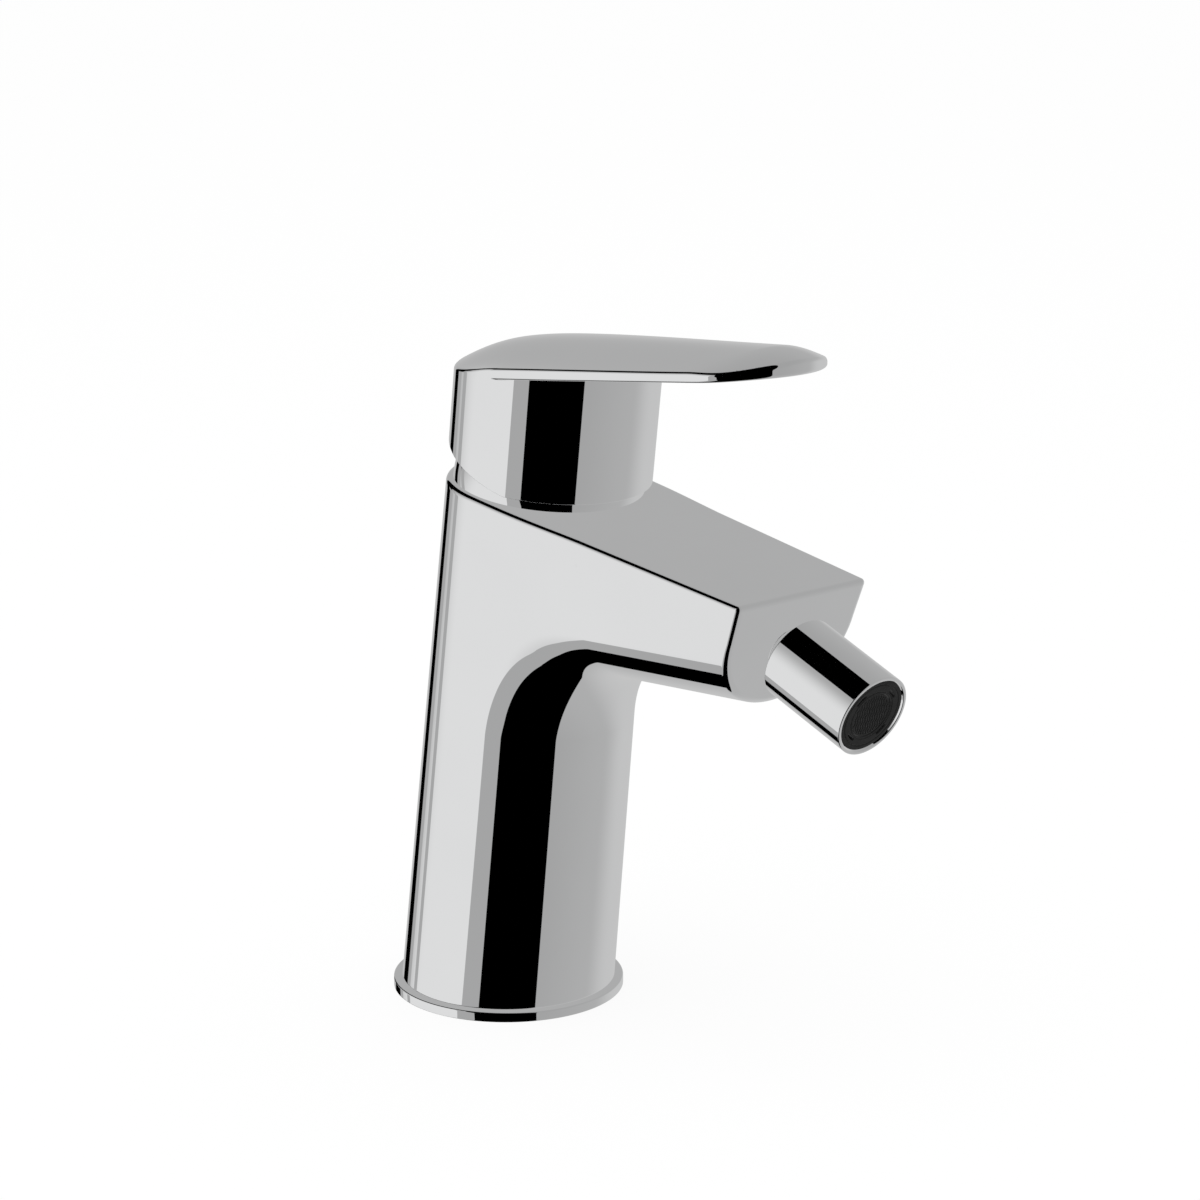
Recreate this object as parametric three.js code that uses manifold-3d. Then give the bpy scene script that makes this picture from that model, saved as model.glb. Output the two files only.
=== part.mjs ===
// Bidet mixer: a leaning column with a flat-topped spout, a lever over a domed collar and a swivel nozzle.
// Millimetres, +Z up, +X from the column towards the spout.
// The origin is the centre of the base ring's underside.
// The column frame starts on top of the base ring and leans forward: its Z runs up the column's axis.
// The nozzle frame starts on the spout's front face: its Z runs along the outlet's axis, away from the spout.

import * as THREE from 'three';
import Module from 'manifold-3d';
import { mergeVertices } from 'three/addons/utils/BufferGeometryUtils.js';

const wasm = await Module();
wasm.setup();

// Flat sides on round surfaces, and steps along curves
const wideSides = 48;
const middleSides = 28;
const narrowSides = 20;
const pinSides = 12;
const sealSides = 6;
const keySides = 6;
const arcSteps = 5;
const crownStations = 20;
const crownStrips = 12;
const outlineSteps = 32;
const archSteps = 8;
const bellySteps = 8;
const flankSteps = 3;

// Clearances
const seatGap = 0.3;
const slideGap = 0.6;
const cutOverrun = 1;
const skinTuck = 0.05;

// Base ring, which stands on the deck
const ringRadius = 26;
const ringThickness = 2.158;
const ringChamfer = 0.3;
const ringLipRise = 2.6;
const ringLipWall = 1.8;
const ringLipClearance = 0.8;
const gasketInnerRadius = 20.6;
const gasketOuterRadius = 23.6;
const gasketThickness = 1;
const baseSealRadius = 21.9;
const baseSealSection = 0.6;

// Column
const lean = THREE.MathUtils.degToRad(7.218);
const columnBaseRadius = 23.98;
const columnTopRadius = 22.2;
const columnHeight = 117.35;
const columnEdge = 0.5;

// Recess under the column, with the two inlet ports and the fixing stud's hole in its ceiling
const recessRadius = 19.8;
const recessCeiling = 40;
const portRadius = 4.6;
const portDepth = 13;
const portSpread = 9.6;
const portForward = 4;
const studHoleRadius = 3.4;
const studHoleDepth = 16;
const studHoleBack = 8.5;
const feedRadius = 2.6;
const crossDrop = 7.5;
const crossRadius = 2.6;

// Spout: flat top in the plane of the column's top, front face leaning back under itself.
// Its round belly runs straight back and bends over an arch into the column's front.
const spoutReach = 93.4;
const spoutRearReach = 15;
const spoutFrontHalfWidth = 18.18;
const spoutRearHalfWidth = 22.02;
const spoutFrontHeight = 26.02;
const spoutRearHeight = 42.44;
const spoutWall = 3.6;
const faceTilt = THREE.MathUtils.degToRad(20);
const bellyDepth = 15.84;
const flankLeanFront = 0.07;
const flankLeanRear = -0.008;
const archRadius = 19;
const coreLength = 21;

// Cartridge, listed from the column's top down
const nutGrip = 4.05;
const nutThreadRadius = 18.7;
const nutNeckRadius = 18;
const nutNeckRise = 4.1;
const nutLipThickness = 2;
const nutBoreRadius = 15;
const housingRadius = 17.5;
const housingBoreRadius = 15.2;
const housingBossRadius = 15;
const housingBossRise = 2.8;
const housingDeckThickness = 2.5;
const carrierNeckRadius = 9.5;
const carrierFlangeRadius = 14.9;
const carrierFlangeThickness = 3.2;
const carrierSlotHalfLength = 7.8;
const discCarrierRadius = 11.6;
const discCarrierThickness = 4.1;
const discCarrierFloor = 0.9;
const movingDiscRadius = 12;
const movingDiscThickness = 4;
const mixPocketDepth = 2.2;
const mixPocketHalfWidth = 8.6;
const mixPocketRear = 9.2;
const fixedDiscRadius = 14.8;
const fixedDiscThickness = 4;
const baseplateRadius = 17.2;
const baseplateThickness = 3.5;
const baseplateRise = 0.7;
const locatingPinRadius = 1.4;
const locatingPinLength = 3;
const locatingPinSpread = 14.4;
const inletForward = 1.5;
const inletSpread = 8;
const outletBack = 6.5;
const outletRadius = 3.2;
const sealWidth = 1.4;
const sealHeight = 1.9;

// Lift pivot, stem and pin
const pivotRise = 6.65;
const carrierNeckRise = 2.5;
const pinRadius = 1.5;
const pinInset = 0.9;
const liftRange = THREE.MathUtils.degToRad(20);
const stemBladeHalfWidth = 3;
const stemBladeHalfDepth = 3.6;
const stemBladeDrop = 5;
const stemShankRadius = 2;
const stemFootRadius = 2.4;
const stemSquareHalf = 4;
const stemSquareRise = 5;

// Domed collar over the nut
const domeRadius = 20.73;
const domeRise = 7.5;
const domeLid = 1.2;
const collarSealRadius = 17.55;
const collarSealSection = 0.5;
const collarSealRise = 2.2;

// Lever: a round hub over the collar with a flaring crowned plate
const hubRadius = 22.26;
const hubWall = 1.2;
const hubSkirtGap = 2.25;
const hubBackCutStart = 8.5;
const hubBackCutSlope = 0.265;
const hubRise = 24.055;
const hubRoofShare = 0.838;
const socketRise = 5;
const bossRadius = 8;
const bossDrop = 6.5;
const ribHalfWidth = 4.2;
const ribDrop = 4.9;
const grubDrop = 2.5;
const grubRadius = 2;
const grubLength = 8;
const grubKeyRadius = 1.1;
const grubKeyDepth = 3;
const plugRadius = 3;
const plugLength = 3;
const plugProud = 0.3;
const plateRearReach = 18.3;
const plateReach = 92.5;
const plateHalfWidth = 25.2;
const plateUnderStep = 0.1;
const plateUnderSlope = 0.115;
const crownBackReach = 4;
const crownRise = 12;
const crownDrop = 3.9;
const crownHalfWidth = 25;
// Outline of the plate: shares of the way from its rear to its tip, and of its greatest half-width
const outlineShares = [
  [0.06, 0.93], [0.2, 1], [0.4, 0.987], [0.6, 0.933], [0.75, 0.765], [0.88, 0.59], [0.966, 0.333],
];
// The crown's centre line: shares of the way from its back end to the plate's tip, and of its rise
const crownShares = [
  [-0.06, -0.42], [0, 0], [0.07, 0.31], [0.166, 0.49], [0.3, 0.64],
  [0.51, 0.8], [0.77, 0.985], [0.87, 1], [1, 0.96], [1.06, 0.9],
];

// Nozzle: a sleeve that swivels and tilts on a ball
const outletDrop = 13.4;
const studRadius = 5;
const studLength = 11;
const studNeckRadius = 3.4;
const studBoreRadius = 2.2;
const washerThickness = 1.6;
const ballRadius = 6.2;
const ballCentre = 9.5;
const ballFlat = 5.2;
const linerThickness = 0.8;
const linerRearAngle = THREE.MathUtils.degToRad(42);
const linerFrontAngle = THREE.MathUtils.degToRad(73);
const sleeveRadius = 9;
const sleeveStart = 3.2;
const sleeveLength = 22.6;
const sleeveLip = 0.8;
const sleeveEdge = 0.3;
const sleeveMouthRadius = 5.7;
const socketNutLength = 5.7;
const socketNutBoreRadius = 4.2;
const ballSealSection = 0.5;
const ballSealAngle = THREE.MathUtils.degToRad(52);
const aeratorWasherThickness = 1.2;
const aeratorWasherBoreRadius = 4.6;
const aeratorWall = 1;
const aeratorRecess = 1;
const aeratorFace = 1.8;
const aeratorWindowRadius = 5;
const flowDiscThickness = 1.4;
const flowHoleRadius = 0.9;
const flowHoleRing = 4;
const flowHoleCount = 6;
const screenThickness = 1.1;
const screenSlotCount = 5;
const screenSlotHalfWidth = 0.35;
const ventSlotCount = 4;
const ventSlotHalfLength = 1.1;
const ventSlotHalfWidth = 0.3;

// Levels along the column's axis, worked out from the sizes above
const nutBottom = columnHeight - nutGrip;
const housingShoulder = nutBottom - seatGap;
const housingTop = housingShoulder + housingBossRise;
const carrierFlangeTop = housingTop - housingDeckThickness - seatGap;
const carrierFlangeBottom = carrierFlangeTop - carrierFlangeThickness;
const discCarrierTop = carrierFlangeBottom - seatGap;
const discCarrierBottom = discCarrierTop - discCarrierThickness;
const movingDiscTop = discCarrierBottom - seatGap;
const movingDiscBottom = movingDiscTop - movingDiscThickness;
const fixedDiscTop = movingDiscBottom - seatGap;
const fixedDiscBottom = fixedDiscTop - fixedDiscThickness;
const baseplateTop = fixedDiscBottom - seatGap;
const baseplateBottom = baseplateTop - baseplateThickness;
const chamberFloor = baseplateBottom - baseplateRise;
const pivotHeight = columnHeight + pivotRise;
const carrierTop = pivotHeight + carrierNeckRise;
const footHeight = discCarrierBottom + discCarrierFloor + seatGap + stemFootRadius;
const footTravel = (pivotHeight - footHeight) * Math.sin(liftRange);
const hubBottom = columnHeight + hubSkirtGap;
const hubRoof = columnHeight + hubRise * hubRoofShare;
const stemTop = hubRoof + socketRise;
const grubHeight = hubRoof - grubDrop;
const sleeveEnd = sleeveStart + sleeveLength;
const chamberRadius = housingRadius + seatGap;
const threadBoreRadius = nutThreadRadius + seatGap;

// Frames
const columnFrame = new THREE.Matrix4().makeRotationY(lean).setPosition(0, 0, ringThickness);
const topSlope = Math.tan(lean);
const topPlaneAtOrigin = ringThickness + columnHeight / Math.cos(lean);
const crownBackHeight = topPlaneAtOrigin + hubRise;
const plateUnderRear = crownBackHeight + plateUnderStep;
const faceDown = new THREE.Vector3(-Math.sin(faceTilt), 0, -Math.cos(faceTilt));
const spoutTopFront = new THREE.Vector3(spoutReach, 0, topPlaneAtOrigin - spoutReach * topSlope);
const spoutTopRear = new THREE.Vector3(spoutRearReach, 0, topPlaneAtOrigin - spoutRearReach * topSlope);
const outletOrigin = spoutTopFront.clone().addScaledVector(faceDown, outletDrop);
const intoColumn = columnFrame.clone().invert();
const columnTaper = (columnBaseRadius - columnTopRadius) / columnHeight;
const nozzleTurn = Math.PI / 2 + faceTilt;
const nozzleFrame = new THREE.Matrix4().makeRotationY(nozzleTurn).setPosition(outletOrigin);

// Shape helpers

function solid(geometry) {
  const bare = geometry.index ? geometry.toNonIndexed() : geometry;
  bare.deleteAttribute('normal');
  bare.deleteAttribute('uv');
  const merged = mergeVertices(bare);
  const corners = merged.index.array;
  const kept = [];
  for (let i = 0; i < corners.length; i += 3) {
    const [a, b, c] = [corners[i], corners[i + 1], corners[i + 2]];
    if (a !== b && b !== c && c !== a) kept.push(a, b, c);
  }
  return new wasm.Manifold(new wasm.Mesh({
    numProp: 3,
    vertProperties: new Float32Array(merged.attributes.position.array),
    triVerts: new Uint32Array(kept),
  }));
}

function geometryOf(shape) {
  const mesh = shape.getMesh();
  const geometry = new THREE.BufferGeometry();
  geometry.setAttribute('position', new THREE.BufferAttribute(mesh.vertProperties, 3));
  geometry.setIndex(new THREE.BufferAttribute(mesh.triVerts, 1));
  geometry.computeVertexNormals();
  return geometry;
}

// A turned solid about Z. The profile runs anticlockwise in radius and height.
function turned(profile, sides) {
  const points = profile.map(([radius, height]) => new THREE.Vector2(radius, height));
  return new THREE.LatheGeometry(points, sides).rotateX(Math.PI / 2);
}

function rod(radius, bottom, top, sides) {
  return turned([[0, bottom], [radius, bottom], [radius, top], [0, top]], sides);
}

function ring(innerRadius, outerRadius, bottom, top, sides) {
  const profile = [[innerRadius, bottom], [outerRadius, bottom], [outerRadius, top], [innerRadius, top]];
  return turned([...profile, profile[0]], sides);
}

function torus(radius, section, height, sides) {
  return new THREE.TorusGeometry(radius, section, sealSides, sides).translate(0, 0, height);
}

function box(low, high) {
  const size = high.map((value, i) => value - low[i]);
  const middle = high.map((value, i) => (value + low[i]) / 2);
  return new THREE.BoxGeometry(...size).translate(...middle);
}

// A solid with its outline in X and Z, spread to both sides along Y
function slab(outline, halfDepth) {
  const shape = new THREE.Shape(outline.map(([x, z]) => new THREE.Vector2(x, z)));
  const block = new THREE.ExtrudeGeometry(shape, { depth: 2 * halfDepth, bevelEnabled: false });
  return block.rotateX(Math.PI / 2).translate(0, halfDepth, 0);
}

// A round bar between two points
function barBetween(start, end, radius, sides) {
  const along = end.clone().sub(start);
  const up = new THREE.Vector3(0, 0, 1);
  const turn = new THREE.Quaternion().setFromUnitVectors(up, along.clone().normalize());
  return rod(radius, 0, along.length(), sides).applyQuaternion(turn).translate(start.x, start.y, start.z);
}

function placed(geometry, frame) {
  return geometry.applyMatrix4(frame);
}

function columnPoint(forward, side, height) {
  return new THREE.Vector3(forward, side, height).applyMatrix4(columnFrame);
}

// A closed skin over rings of points, all with the same count, with flat ends
function loft(rings) {
  const count = rings[0].length;
  const points = rings.flat();
  const corners = [];
  for (let i = 0; i + 1 < rings.length; i += 1) {
    for (let j = 0; j < count; j += 1) {
      const next = (j + 1) % count;
      const [a, b, c, d] = [i * count + j, i * count + next, (i + 1) * count + next, (i + 1) * count + j];
      corners.push(a, c, b, a, d, c);
    }
  }
  for (const [start, flip] of [[0, false], [(rings.length - 1) * count, true]]) {
    for (let j = 1; j + 1 < count; j += 1) {
      const [b, c] = flip ? [start + j + 1, start + j] : [start + j, start + j + 1];
      corners.push(start, b, c);
    }
  }
  const geometry = new THREE.BufferGeometry();
  const flat = points.flatMap((point) => point.toArray());
  geometry.setAttribute('position', new THREE.Float32BufferAttribute(flat, 3));
  geometry.setIndex(corners);
  return geometry;
}

// A circle arc about a centre on Z, with the angle counted from the downward direction
function arc(radius, centre, startAngle, endAngle) {
  const points = [];
  for (let i = 0; i <= arcSteps; i += 1) {
    const angle = startAngle + (endAngle - startAngle) * (i / arcSteps);
    points.push([radius * Math.sin(angle), centre - radius * Math.cos(angle)]);
  }
  return points;
}

// A smooth curve through pairs of shares
function curveThrough(pairs) {
  const curve = new THREE.CubicInterpolant(pairs.map((pair) => pair[0]), pairs.map((pair) => pair[1]), 1);
  return (share) => curve.evaluate(share)[0];
}

// Base ring and its seals

function makeBaseRing() {
  const lipOuter = recessRadius - ringLipClearance;
  const lipInner = lipOuter - ringLipWall;
  const profile = [
    [lipInner, 0], [ringRadius, 0], [ringRadius, ringThickness - ringChamfer],
    [ringRadius - ringChamfer, ringThickness], [lipOuter, ringThickness],
    [lipOuter, ringThickness + ringLipRise], [lipInner, ringThickness + ringLipRise],
  ];
  const blank = solid(turned([...profile, profile[0]], wideSides));
  const grooveTop = gasketThickness + seatGap;
  const grooveInner = gasketInnerRadius - seatGap;
  const grooveOuter = gasketOuterRadius + seatGap;
  const groove = ring(grooveInner, grooveOuter, -cutOverrun, grooveTop, wideSides);
  return geometryOf(blank.subtract(solid(groove)));
}

function makeDeckGasket() {
  return ring(gasketInnerRadius, gasketOuterRadius, 0, gasketThickness, wideSides);
}

function baseSealCentre() {
  return ringThickness + seatGap + baseSealSection;
}

function makeBaseSeal() {
  return torus(baseSealRadius, baseSealSection, baseSealCentre(), wideSides);
}

// Body casting: column and spout with their recess, ports, waterways and cartridge chamber

// The spout's underside in the middle plane: its rear end, its way forward and the way up from it
function undersideLine() {
  const front = spoutTopFront.clone().addScaledVector(faceDown, spoutFrontHeight);
  const rear = spoutTopRear.clone().addScaledVector(faceDown, spoutRearHeight);
  const way = front.clone().sub(rear).normalize();
  return { rear, way, up: new THREE.Vector3(-way.z, 0, way.x) };
}

// The way backwards from the column's front line, square to it
function frontLineBack() {
  const turn = lean - Math.atan(columnTaper);
  return new THREE.Vector3(-Math.cos(turn), 0, Math.sin(turn));
}

// Middle of the arch, which touches the column's front line and the spout's underside
function archMiddle() {
  const { rear, way, up } = undersideLine();
  const back = frontLineBack();
  const start = rear.addScaledVector(up, -archRadius);
  const gap = columnPoint(columnBaseRadius, 0, 0).sub(start).dot(back) - archRadius;
  return start.addScaledVector(way, gap / way.dot(back));
}

// Half-width of the outside, which turns from the column's round into the spout's belly and flank
function skinHalfWidth(point, depth, top, turnShare, inset) {
  const { x: forward, z: height } = point.clone().applyMatrix4(intoColumn);
  const reach = archMiddle().x - columnPoint(0, 0, columnHeight).x;
  const share = turnShare * THREE.MathUtils.smoothstep(forward, 0, reach);
  const alongShare = (spoutReach - point.x) / (spoutReach - spoutRearReach);
  const edge = THREE.MathUtils.lerp(spoutFrontHalfWidth, spoutRearHalfWidth, alongShare);
  const flankLean = THREE.MathUtils.lerp(flankLeanFront, flankLeanRear, alongShare);
  const round = columnBaseRadius - columnTaper * height;
  const belly = THREE.MathUtils.lerp(round, bellyDepth, share);
  const width = THREE.MathUtils.lerp(round, edge - flankLean * (top - bellyDepth), share);
  if (depth > belly) return width + flankLean * share * (depth - belly) - inset;
  return (width - inset) * Math.sqrt(1 - ((belly - depth) / (belly - inset)) ** 2);
}

// Section of the outside along a way from the arch's middle line up to the column's axis or the flat top
function skinRing(start, way, turnShare, inset) {
  const low = start.clone().applyMatrix4(intoColumn);
  const rise = way.clone().transformDirection(intoColumn);
  const runs = [-low.x / rise.x, (columnHeight - low.z) / rise.z].filter((run) => run > 0);
  const top = Math.min(...runs) - archRadius;
  const belly = THREE.MathUtils.lerp(columnTopRadius, bellyDepth, turnShare) - inset;
  const depths = [];
  for (let i = 0; i < flankSteps; i += 1) {
    depths.push(THREE.MathUtils.lerp(top - inset, inset + belly, i / flankSteps));
  }
  for (let i = bellySteps; i >= 0; i -= 1) {
    depths.push(inset + belly * (1 - Math.cos((Math.PI / 2) * (i / bellySteps))));
  }
  const rightHalf = depths.map((depth, i) => {
    const point = start.clone().addScaledVector(way, archRadius + depth);
    const tuck = i === 0 ? skinTuck : 0;
    point.y = skinHalfWidth(point, depth, top, turnShare, inset) - tuck;
    return point;
  });
  const leftHalf = rightHalf.slice(0, -1).reverse();
  return [...rightHalf, ...leftHalf.map((point) => point.clone().setY(-point.y))];
}

function spoutSolid() {
  const middle = archMiddle();
  const { way, up } = undersideLine();
  const back = frontLineBack();
  const rows = [skinRing(middle, back, 0, skinTuck)];
  const bend = back.angleTo(up);
  for (let i = 1; i <= archSteps; i += 1) {
    const share = i / archSteps;
    const turned = back.clone().applyAxisAngle(new THREE.Vector3(0, 1, 0), bend * share);
    rows.push(skinRing(middle, turned, THREE.MathUtils.smoothstep(share, 0, 1), 0));
  }
  const length = spoutReach + archRadius - middle.x;
  for (const share of [1 / 2, 1]) {
    rows.push(skinRing(middle.clone().addScaledVector(way, length * share), up, 1, 0));
  }
  const inward = new THREE.Vector3(-Math.cos(faceTilt), 0, Math.sin(faceTilt));
  return solid(loft(rows)).trimByPlane(inward.toArray(), inward.dot(spoutTopFront));
}

function columnSolid() {
  const start = -columnBaseRadius * Math.sin(lean) - cutOverrun;
  const profile = [
    [0, start], [columnBaseRadius - columnTaper * start, start], [columnTopRadius, columnHeight - columnEdge],
    [columnTopRadius - columnEdge, columnHeight], [0, columnHeight],
  ];
  const base = ringThickness + seatGap;
  const reach = 2 * columnBaseRadius;
  const below = box([-reach, -reach, base - reach], [reach, reach, base]);
  return solid(placed(turned(profile, wideSides), columnFrame)).subtract(solid(below));
}

function recessCut() {
  const start = -recessRadius * Math.sin(lean) - cutOverrun;
  const bore = placed(rod(recessRadius, start, recessCeiling + recessRadius, wideSides), columnFrame);
  const reach = 2 * recessRadius + recessCeiling;
  const ceiling = box([-reach, -reach, recessCeiling], [reach, reach, recessCeiling + reach]);
  return solid(bore).subtract(solid(ceiling));
}

function baseSealGroove() {
  const groove = baseSealSection + seatGap;
  const top = baseSealCentre() + groove;
  return solid(ring(baseSealRadius - groove, baseSealRadius + groove, 0, top, wideSides));
}

function inletCuts() {
  const cuts = [];
  for (const side of [-1, 1]) {
    const mouth = new THREE.Vector3(portForward, side * portSpread, recessCeiling - cutOverrun);
    const portTop = mouth.clone().setZ(recessCeiling + portDepth);
    const feedStart = mouth.clone().setZ(recessCeiling + portDepth - cutOverrun);
    const feedEnd = columnPoint(inletForward, side * inletSpread, chamberFloor + cutOverrun);
    cuts.push(solid(barBetween(mouth, portTop, portRadius, narrowSides)));
    cuts.push(solid(barBetween(feedStart, feedEnd, feedRadius, pinSides)));
  }
  return cuts;
}

function studHoleCut() {
  const hole = rod(studHoleRadius, recessCeiling - cutOverrun, recessCeiling + studHoleDepth, narrowSides);
  return solid(hole.translate(portForward - studHoleBack, 0, 0));
}

function chamberCuts() {
  const cuts = [
    rod(chamberRadius, chamberFloor, columnHeight + cutOverrun, middleSides),
    rod(threadBoreRadius, nutBottom - seatGap, columnHeight + cutOverrun, middleSides),
  ];
  for (const side of [-1, 1]) {
    const hole = rod(
      locatingPinRadius + seatGap, baseplateBottom - locatingPinLength - seatGap,
      baseplateBottom + cutOverrun, pinSides,
    );
    cuts.push(hole.translate(0, side * locatingPinSpread, 0));
  }
  return cuts.map((cut) => solid(placed(cut, columnFrame)));
}

// The waterway drops from the chamber's outlet, crosses below the floor and widens in the spout
function waterwayCuts() {
  const crossHeight = chamberFloor - crossDrop;
  const shaft = rod(outletRadius, crossHeight, chamberFloor + cutOverrun, narrowSides);
  shaft.translate(-outletBack, 0, 0);
  const crossStart = columnPoint(-outletBack, 0, crossHeight);
  const middle = archMiddle();
  const { way, up } = undersideLine();
  const coreRear = skinRing(middle, up, 1, spoutWall);
  const coreFront = skinRing(middle.clone().addScaledVector(way, coreLength), up, 1, spoutWall);
  const coreLowest = middle.clone().addScaledVector(up, archRadius + spoutWall);
  const crossEnd = coreLowest.add(new THREE.Vector3(spoutWall, 0, crossRadius / 2));
  const boreEnd = studLength + seatGap + washerThickness + seatGap;
  const frontBore = rod(studRadius + seatGap, -boreEnd, cutOverrun, narrowSides);
  const coreLink = rod(outletRadius, -2 * boreEnd, -boreEnd + cutOverrun, narrowSides);
  return [
    solid(placed(shaft, columnFrame)),
    solid(barBetween(crossStart, crossEnd, crossRadius, narrowSides)),
    solid(loft([coreRear, coreFront])),
    solid(placed(frontBore, nozzleFrame)),
    solid(placed(coreLink, nozzleFrame)),
  ];
}

function makeBody() {
  let body = columnSolid().add(spoutSolid());
  const underside = [recessCut(), baseSealGroove(), studHoleCut()];
  const cuts = [...underside, ...inletCuts(), ...chamberCuts(), ...waterwayCuts()];
  for (const cut of cuts) body = body.subtract(cut);
  return geometryOf(body);
}

// Cartridge

function portCuts(bottom, top) {
  const cuts = [-1, 1].map((side) =>
    rod(feedRadius, bottom, top, pinSides).translate(inletForward, side * inletSpread, 0));
  cuts.push(rod(outletRadius, bottom, top, narrowSides).translate(-outletBack, 0, 0));
  return cuts.map((cut) => solid(cut));
}

function cutAll(shape, cuts) {
  return cuts.reduce((left, cut) => left.subtract(cut), shape);
}

function makeBaseplate() {
  let plate = solid(rod(baseplateRadius, baseplateBottom, baseplateTop, middleSides));
  for (const side of [-1, 1]) {
    const tip = baseplateBottom - locatingPinLength;
    const pin = rod(locatingPinRadius, tip, baseplateBottom + cutOverrun, pinSides);
    plate = plate.add(solid(pin.translate(0, side * locatingPinSpread, 0)));
  }
  const pocketTop = chamberFloor + seatGap + sealHeight + seatGap;
  const start = baseplateBottom - cutOverrun;
  const pockets = sealPlaces().map(({ forward, side, bore }) =>
    solid(rod(bore + sealWidth + seatGap, start, pocketTop, narrowSides).translate(forward, side, 0)));
  return geometryOf(cutAll(plate, [...pockets, ...portCuts(start, baseplateTop + cutOverrun)]));
}

function sealPlaces() {
  return [
    { name: 'inlet_seal_right', forward: inletForward, side: -inletSpread, bore: feedRadius },
    { name: 'inlet_seal_left', forward: inletForward, side: inletSpread, bore: feedRadius },
    { name: 'outlet_seal', forward: -outletBack, side: 0, bore: outletRadius },
  ];
}

function makePortSeal(bore) {
  const bottom = chamberFloor + seatGap;
  return ring(bore, bore + sealWidth, bottom, bottom + sealHeight, narrowSides);
}

function makeFixedDisc() {
  const disc = solid(rod(fixedDiscRadius, fixedDiscBottom, fixedDiscTop, middleSides));
  return geometryOf(cutAll(disc, portCuts(fixedDiscBottom - cutOverrun, fixedDiscTop + cutOverrun)));
}

// The moving disc and its carrier rest shifted back by half their travel, in the shut position
function makeMovingDisc() {
  const disc = solid(rod(movingDiscRadius, movingDiscBottom, movingDiscTop, middleSides));
  const pocket = box(
    [-mixPocketRear, -mixPocketHalfWidth, movingDiscBottom - cutOverrun],
    [0, mixPocketHalfWidth, movingDiscBottom + mixPocketDepth],
  );
  return geometryOf(disc.subtract(solid(pocket)));
}

function makeDiscCarrier() {
  const carrier = solid(rod(discCarrierRadius, discCarrierBottom, discCarrierTop, middleSides));
  const floor = discCarrierBottom + discCarrierFloor;
  const pocket = rod(stemFootRadius + seatGap, floor, discCarrierTop + cutOverrun, narrowSides);
  return geometryOf(carrier.subtract(solid(pocket.translate(footTravel / 2, 0, 0))));
}

function makeHousing() {
  const neckBore = carrierNeckRadius + seatGap;
  const ceiling = housingTop - housingDeckThickness;
  const profile = [
    [housingBoreRadius, fixedDiscBottom], [housingRadius, fixedDiscBottom], [housingRadius, housingShoulder],
    [housingBossRadius, housingShoulder], [housingBossRadius, housingTop], [neckBore, housingTop],
    [neckBore, ceiling], [housingBoreRadius, ceiling],
  ];
  return turned([...profile, profile[0]], middleSides);
}

function makeTurningCarrier() {
  const profile = [
    [0, carrierFlangeBottom], [carrierFlangeRadius, carrierFlangeBottom],
    [carrierFlangeRadius, carrierFlangeTop], [carrierNeckRadius, carrierFlangeTop],
    [carrierNeckRadius, carrierTop], [0, carrierTop],
  ];
  const slotHalfWidth = stemBladeHalfWidth + seatGap;
  const slot = box(
    [-carrierSlotHalfLength, -slotHalfWidth, carrierFlangeBottom - cutOverrun],
    [carrierSlotHalfLength, slotHalfWidth, carrierTop + cutOverrun],
  );
  const pinHole = crossRod(pinRadius + seatGap, carrierNeckRadius + cutOverrun);
  return geometryOf(cutAll(solid(turned(profile, middleSides)), [solid(slot), solid(pinHole)]));
}

// A rod along Y through the lift pivot
function crossRod(radius, halfLength) {
  return rod(radius, -halfLength, halfLength, pinSides).rotateX(Math.PI / 2).translate(0, 0, pivotHeight);
}

function makePivotPin() {
  return crossRod(pinRadius, carrierNeckRadius - pinInset);
}

function makeStem() {
  const bladeBottom = pivotHeight - stemBladeDrop;
  const squareBottom = pivotHeight + stemSquareRise;
  const blade = box(
    [-stemBladeHalfDepth, -stemBladeHalfWidth, bladeBottom],
    [stemBladeHalfDepth, stemBladeHalfWidth, squareBottom + cutOverrun],
  );
  const square = box(
    [-stemSquareHalf, -stemSquareHalf, squareBottom],
    [stemSquareHalf, stemSquareHalf, stemTop],
  );
  const shank = rod(stemShankRadius, footHeight, bladeBottom + cutOverrun, pinSides);
  const foot = turned(arc(stemFootRadius, footHeight, 0, Math.PI), pinSides);
  const joined = [square, shank, foot].reduce((shape, piece) => shape.add(solid(piece)), solid(blade));
  return geometryOf(joined.subtract(solid(crossRod(pinRadius + seatGap, stemBladeHalfWidth + cutOverrun))));
}

function makeCartridgeNut() {
  const lipBottom = housingTop + seatGap;
  const lipTop = lipBottom + nutLipThickness;
  const top = columnHeight + nutNeckRise;
  const lipRadius = carrierNeckRadius + slideGap;
  const clearRadius = housingBossRadius + seatGap;
  const profile = [
    [clearRadius, nutBottom], [nutThreadRadius, nutBottom], [nutThreadRadius, columnHeight - seatGap],
    [nutNeckRadius, columnHeight - seatGap], [nutNeckRadius, top],
    [nutBoreRadius, top], [nutBoreRadius, lipTop],
    [lipRadius, lipTop], [lipRadius, lipBottom], [clearRadius, lipBottom],
  ];
  const nut = solid(turned([...profile, profile[0]], middleSides));
  const grooveHeight = columnHeight + collarSealRise;
  const groove = torus(collarSealRadius, collarSealSection + seatGap, grooveHeight, middleSides);
  return geometryOf(nut.subtract(solid(groove)));
}

function makeCollarSeal() {
  return torus(collarSealRadius, collarSealSection, columnHeight + collarSealRise, middleSides);
}

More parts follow.
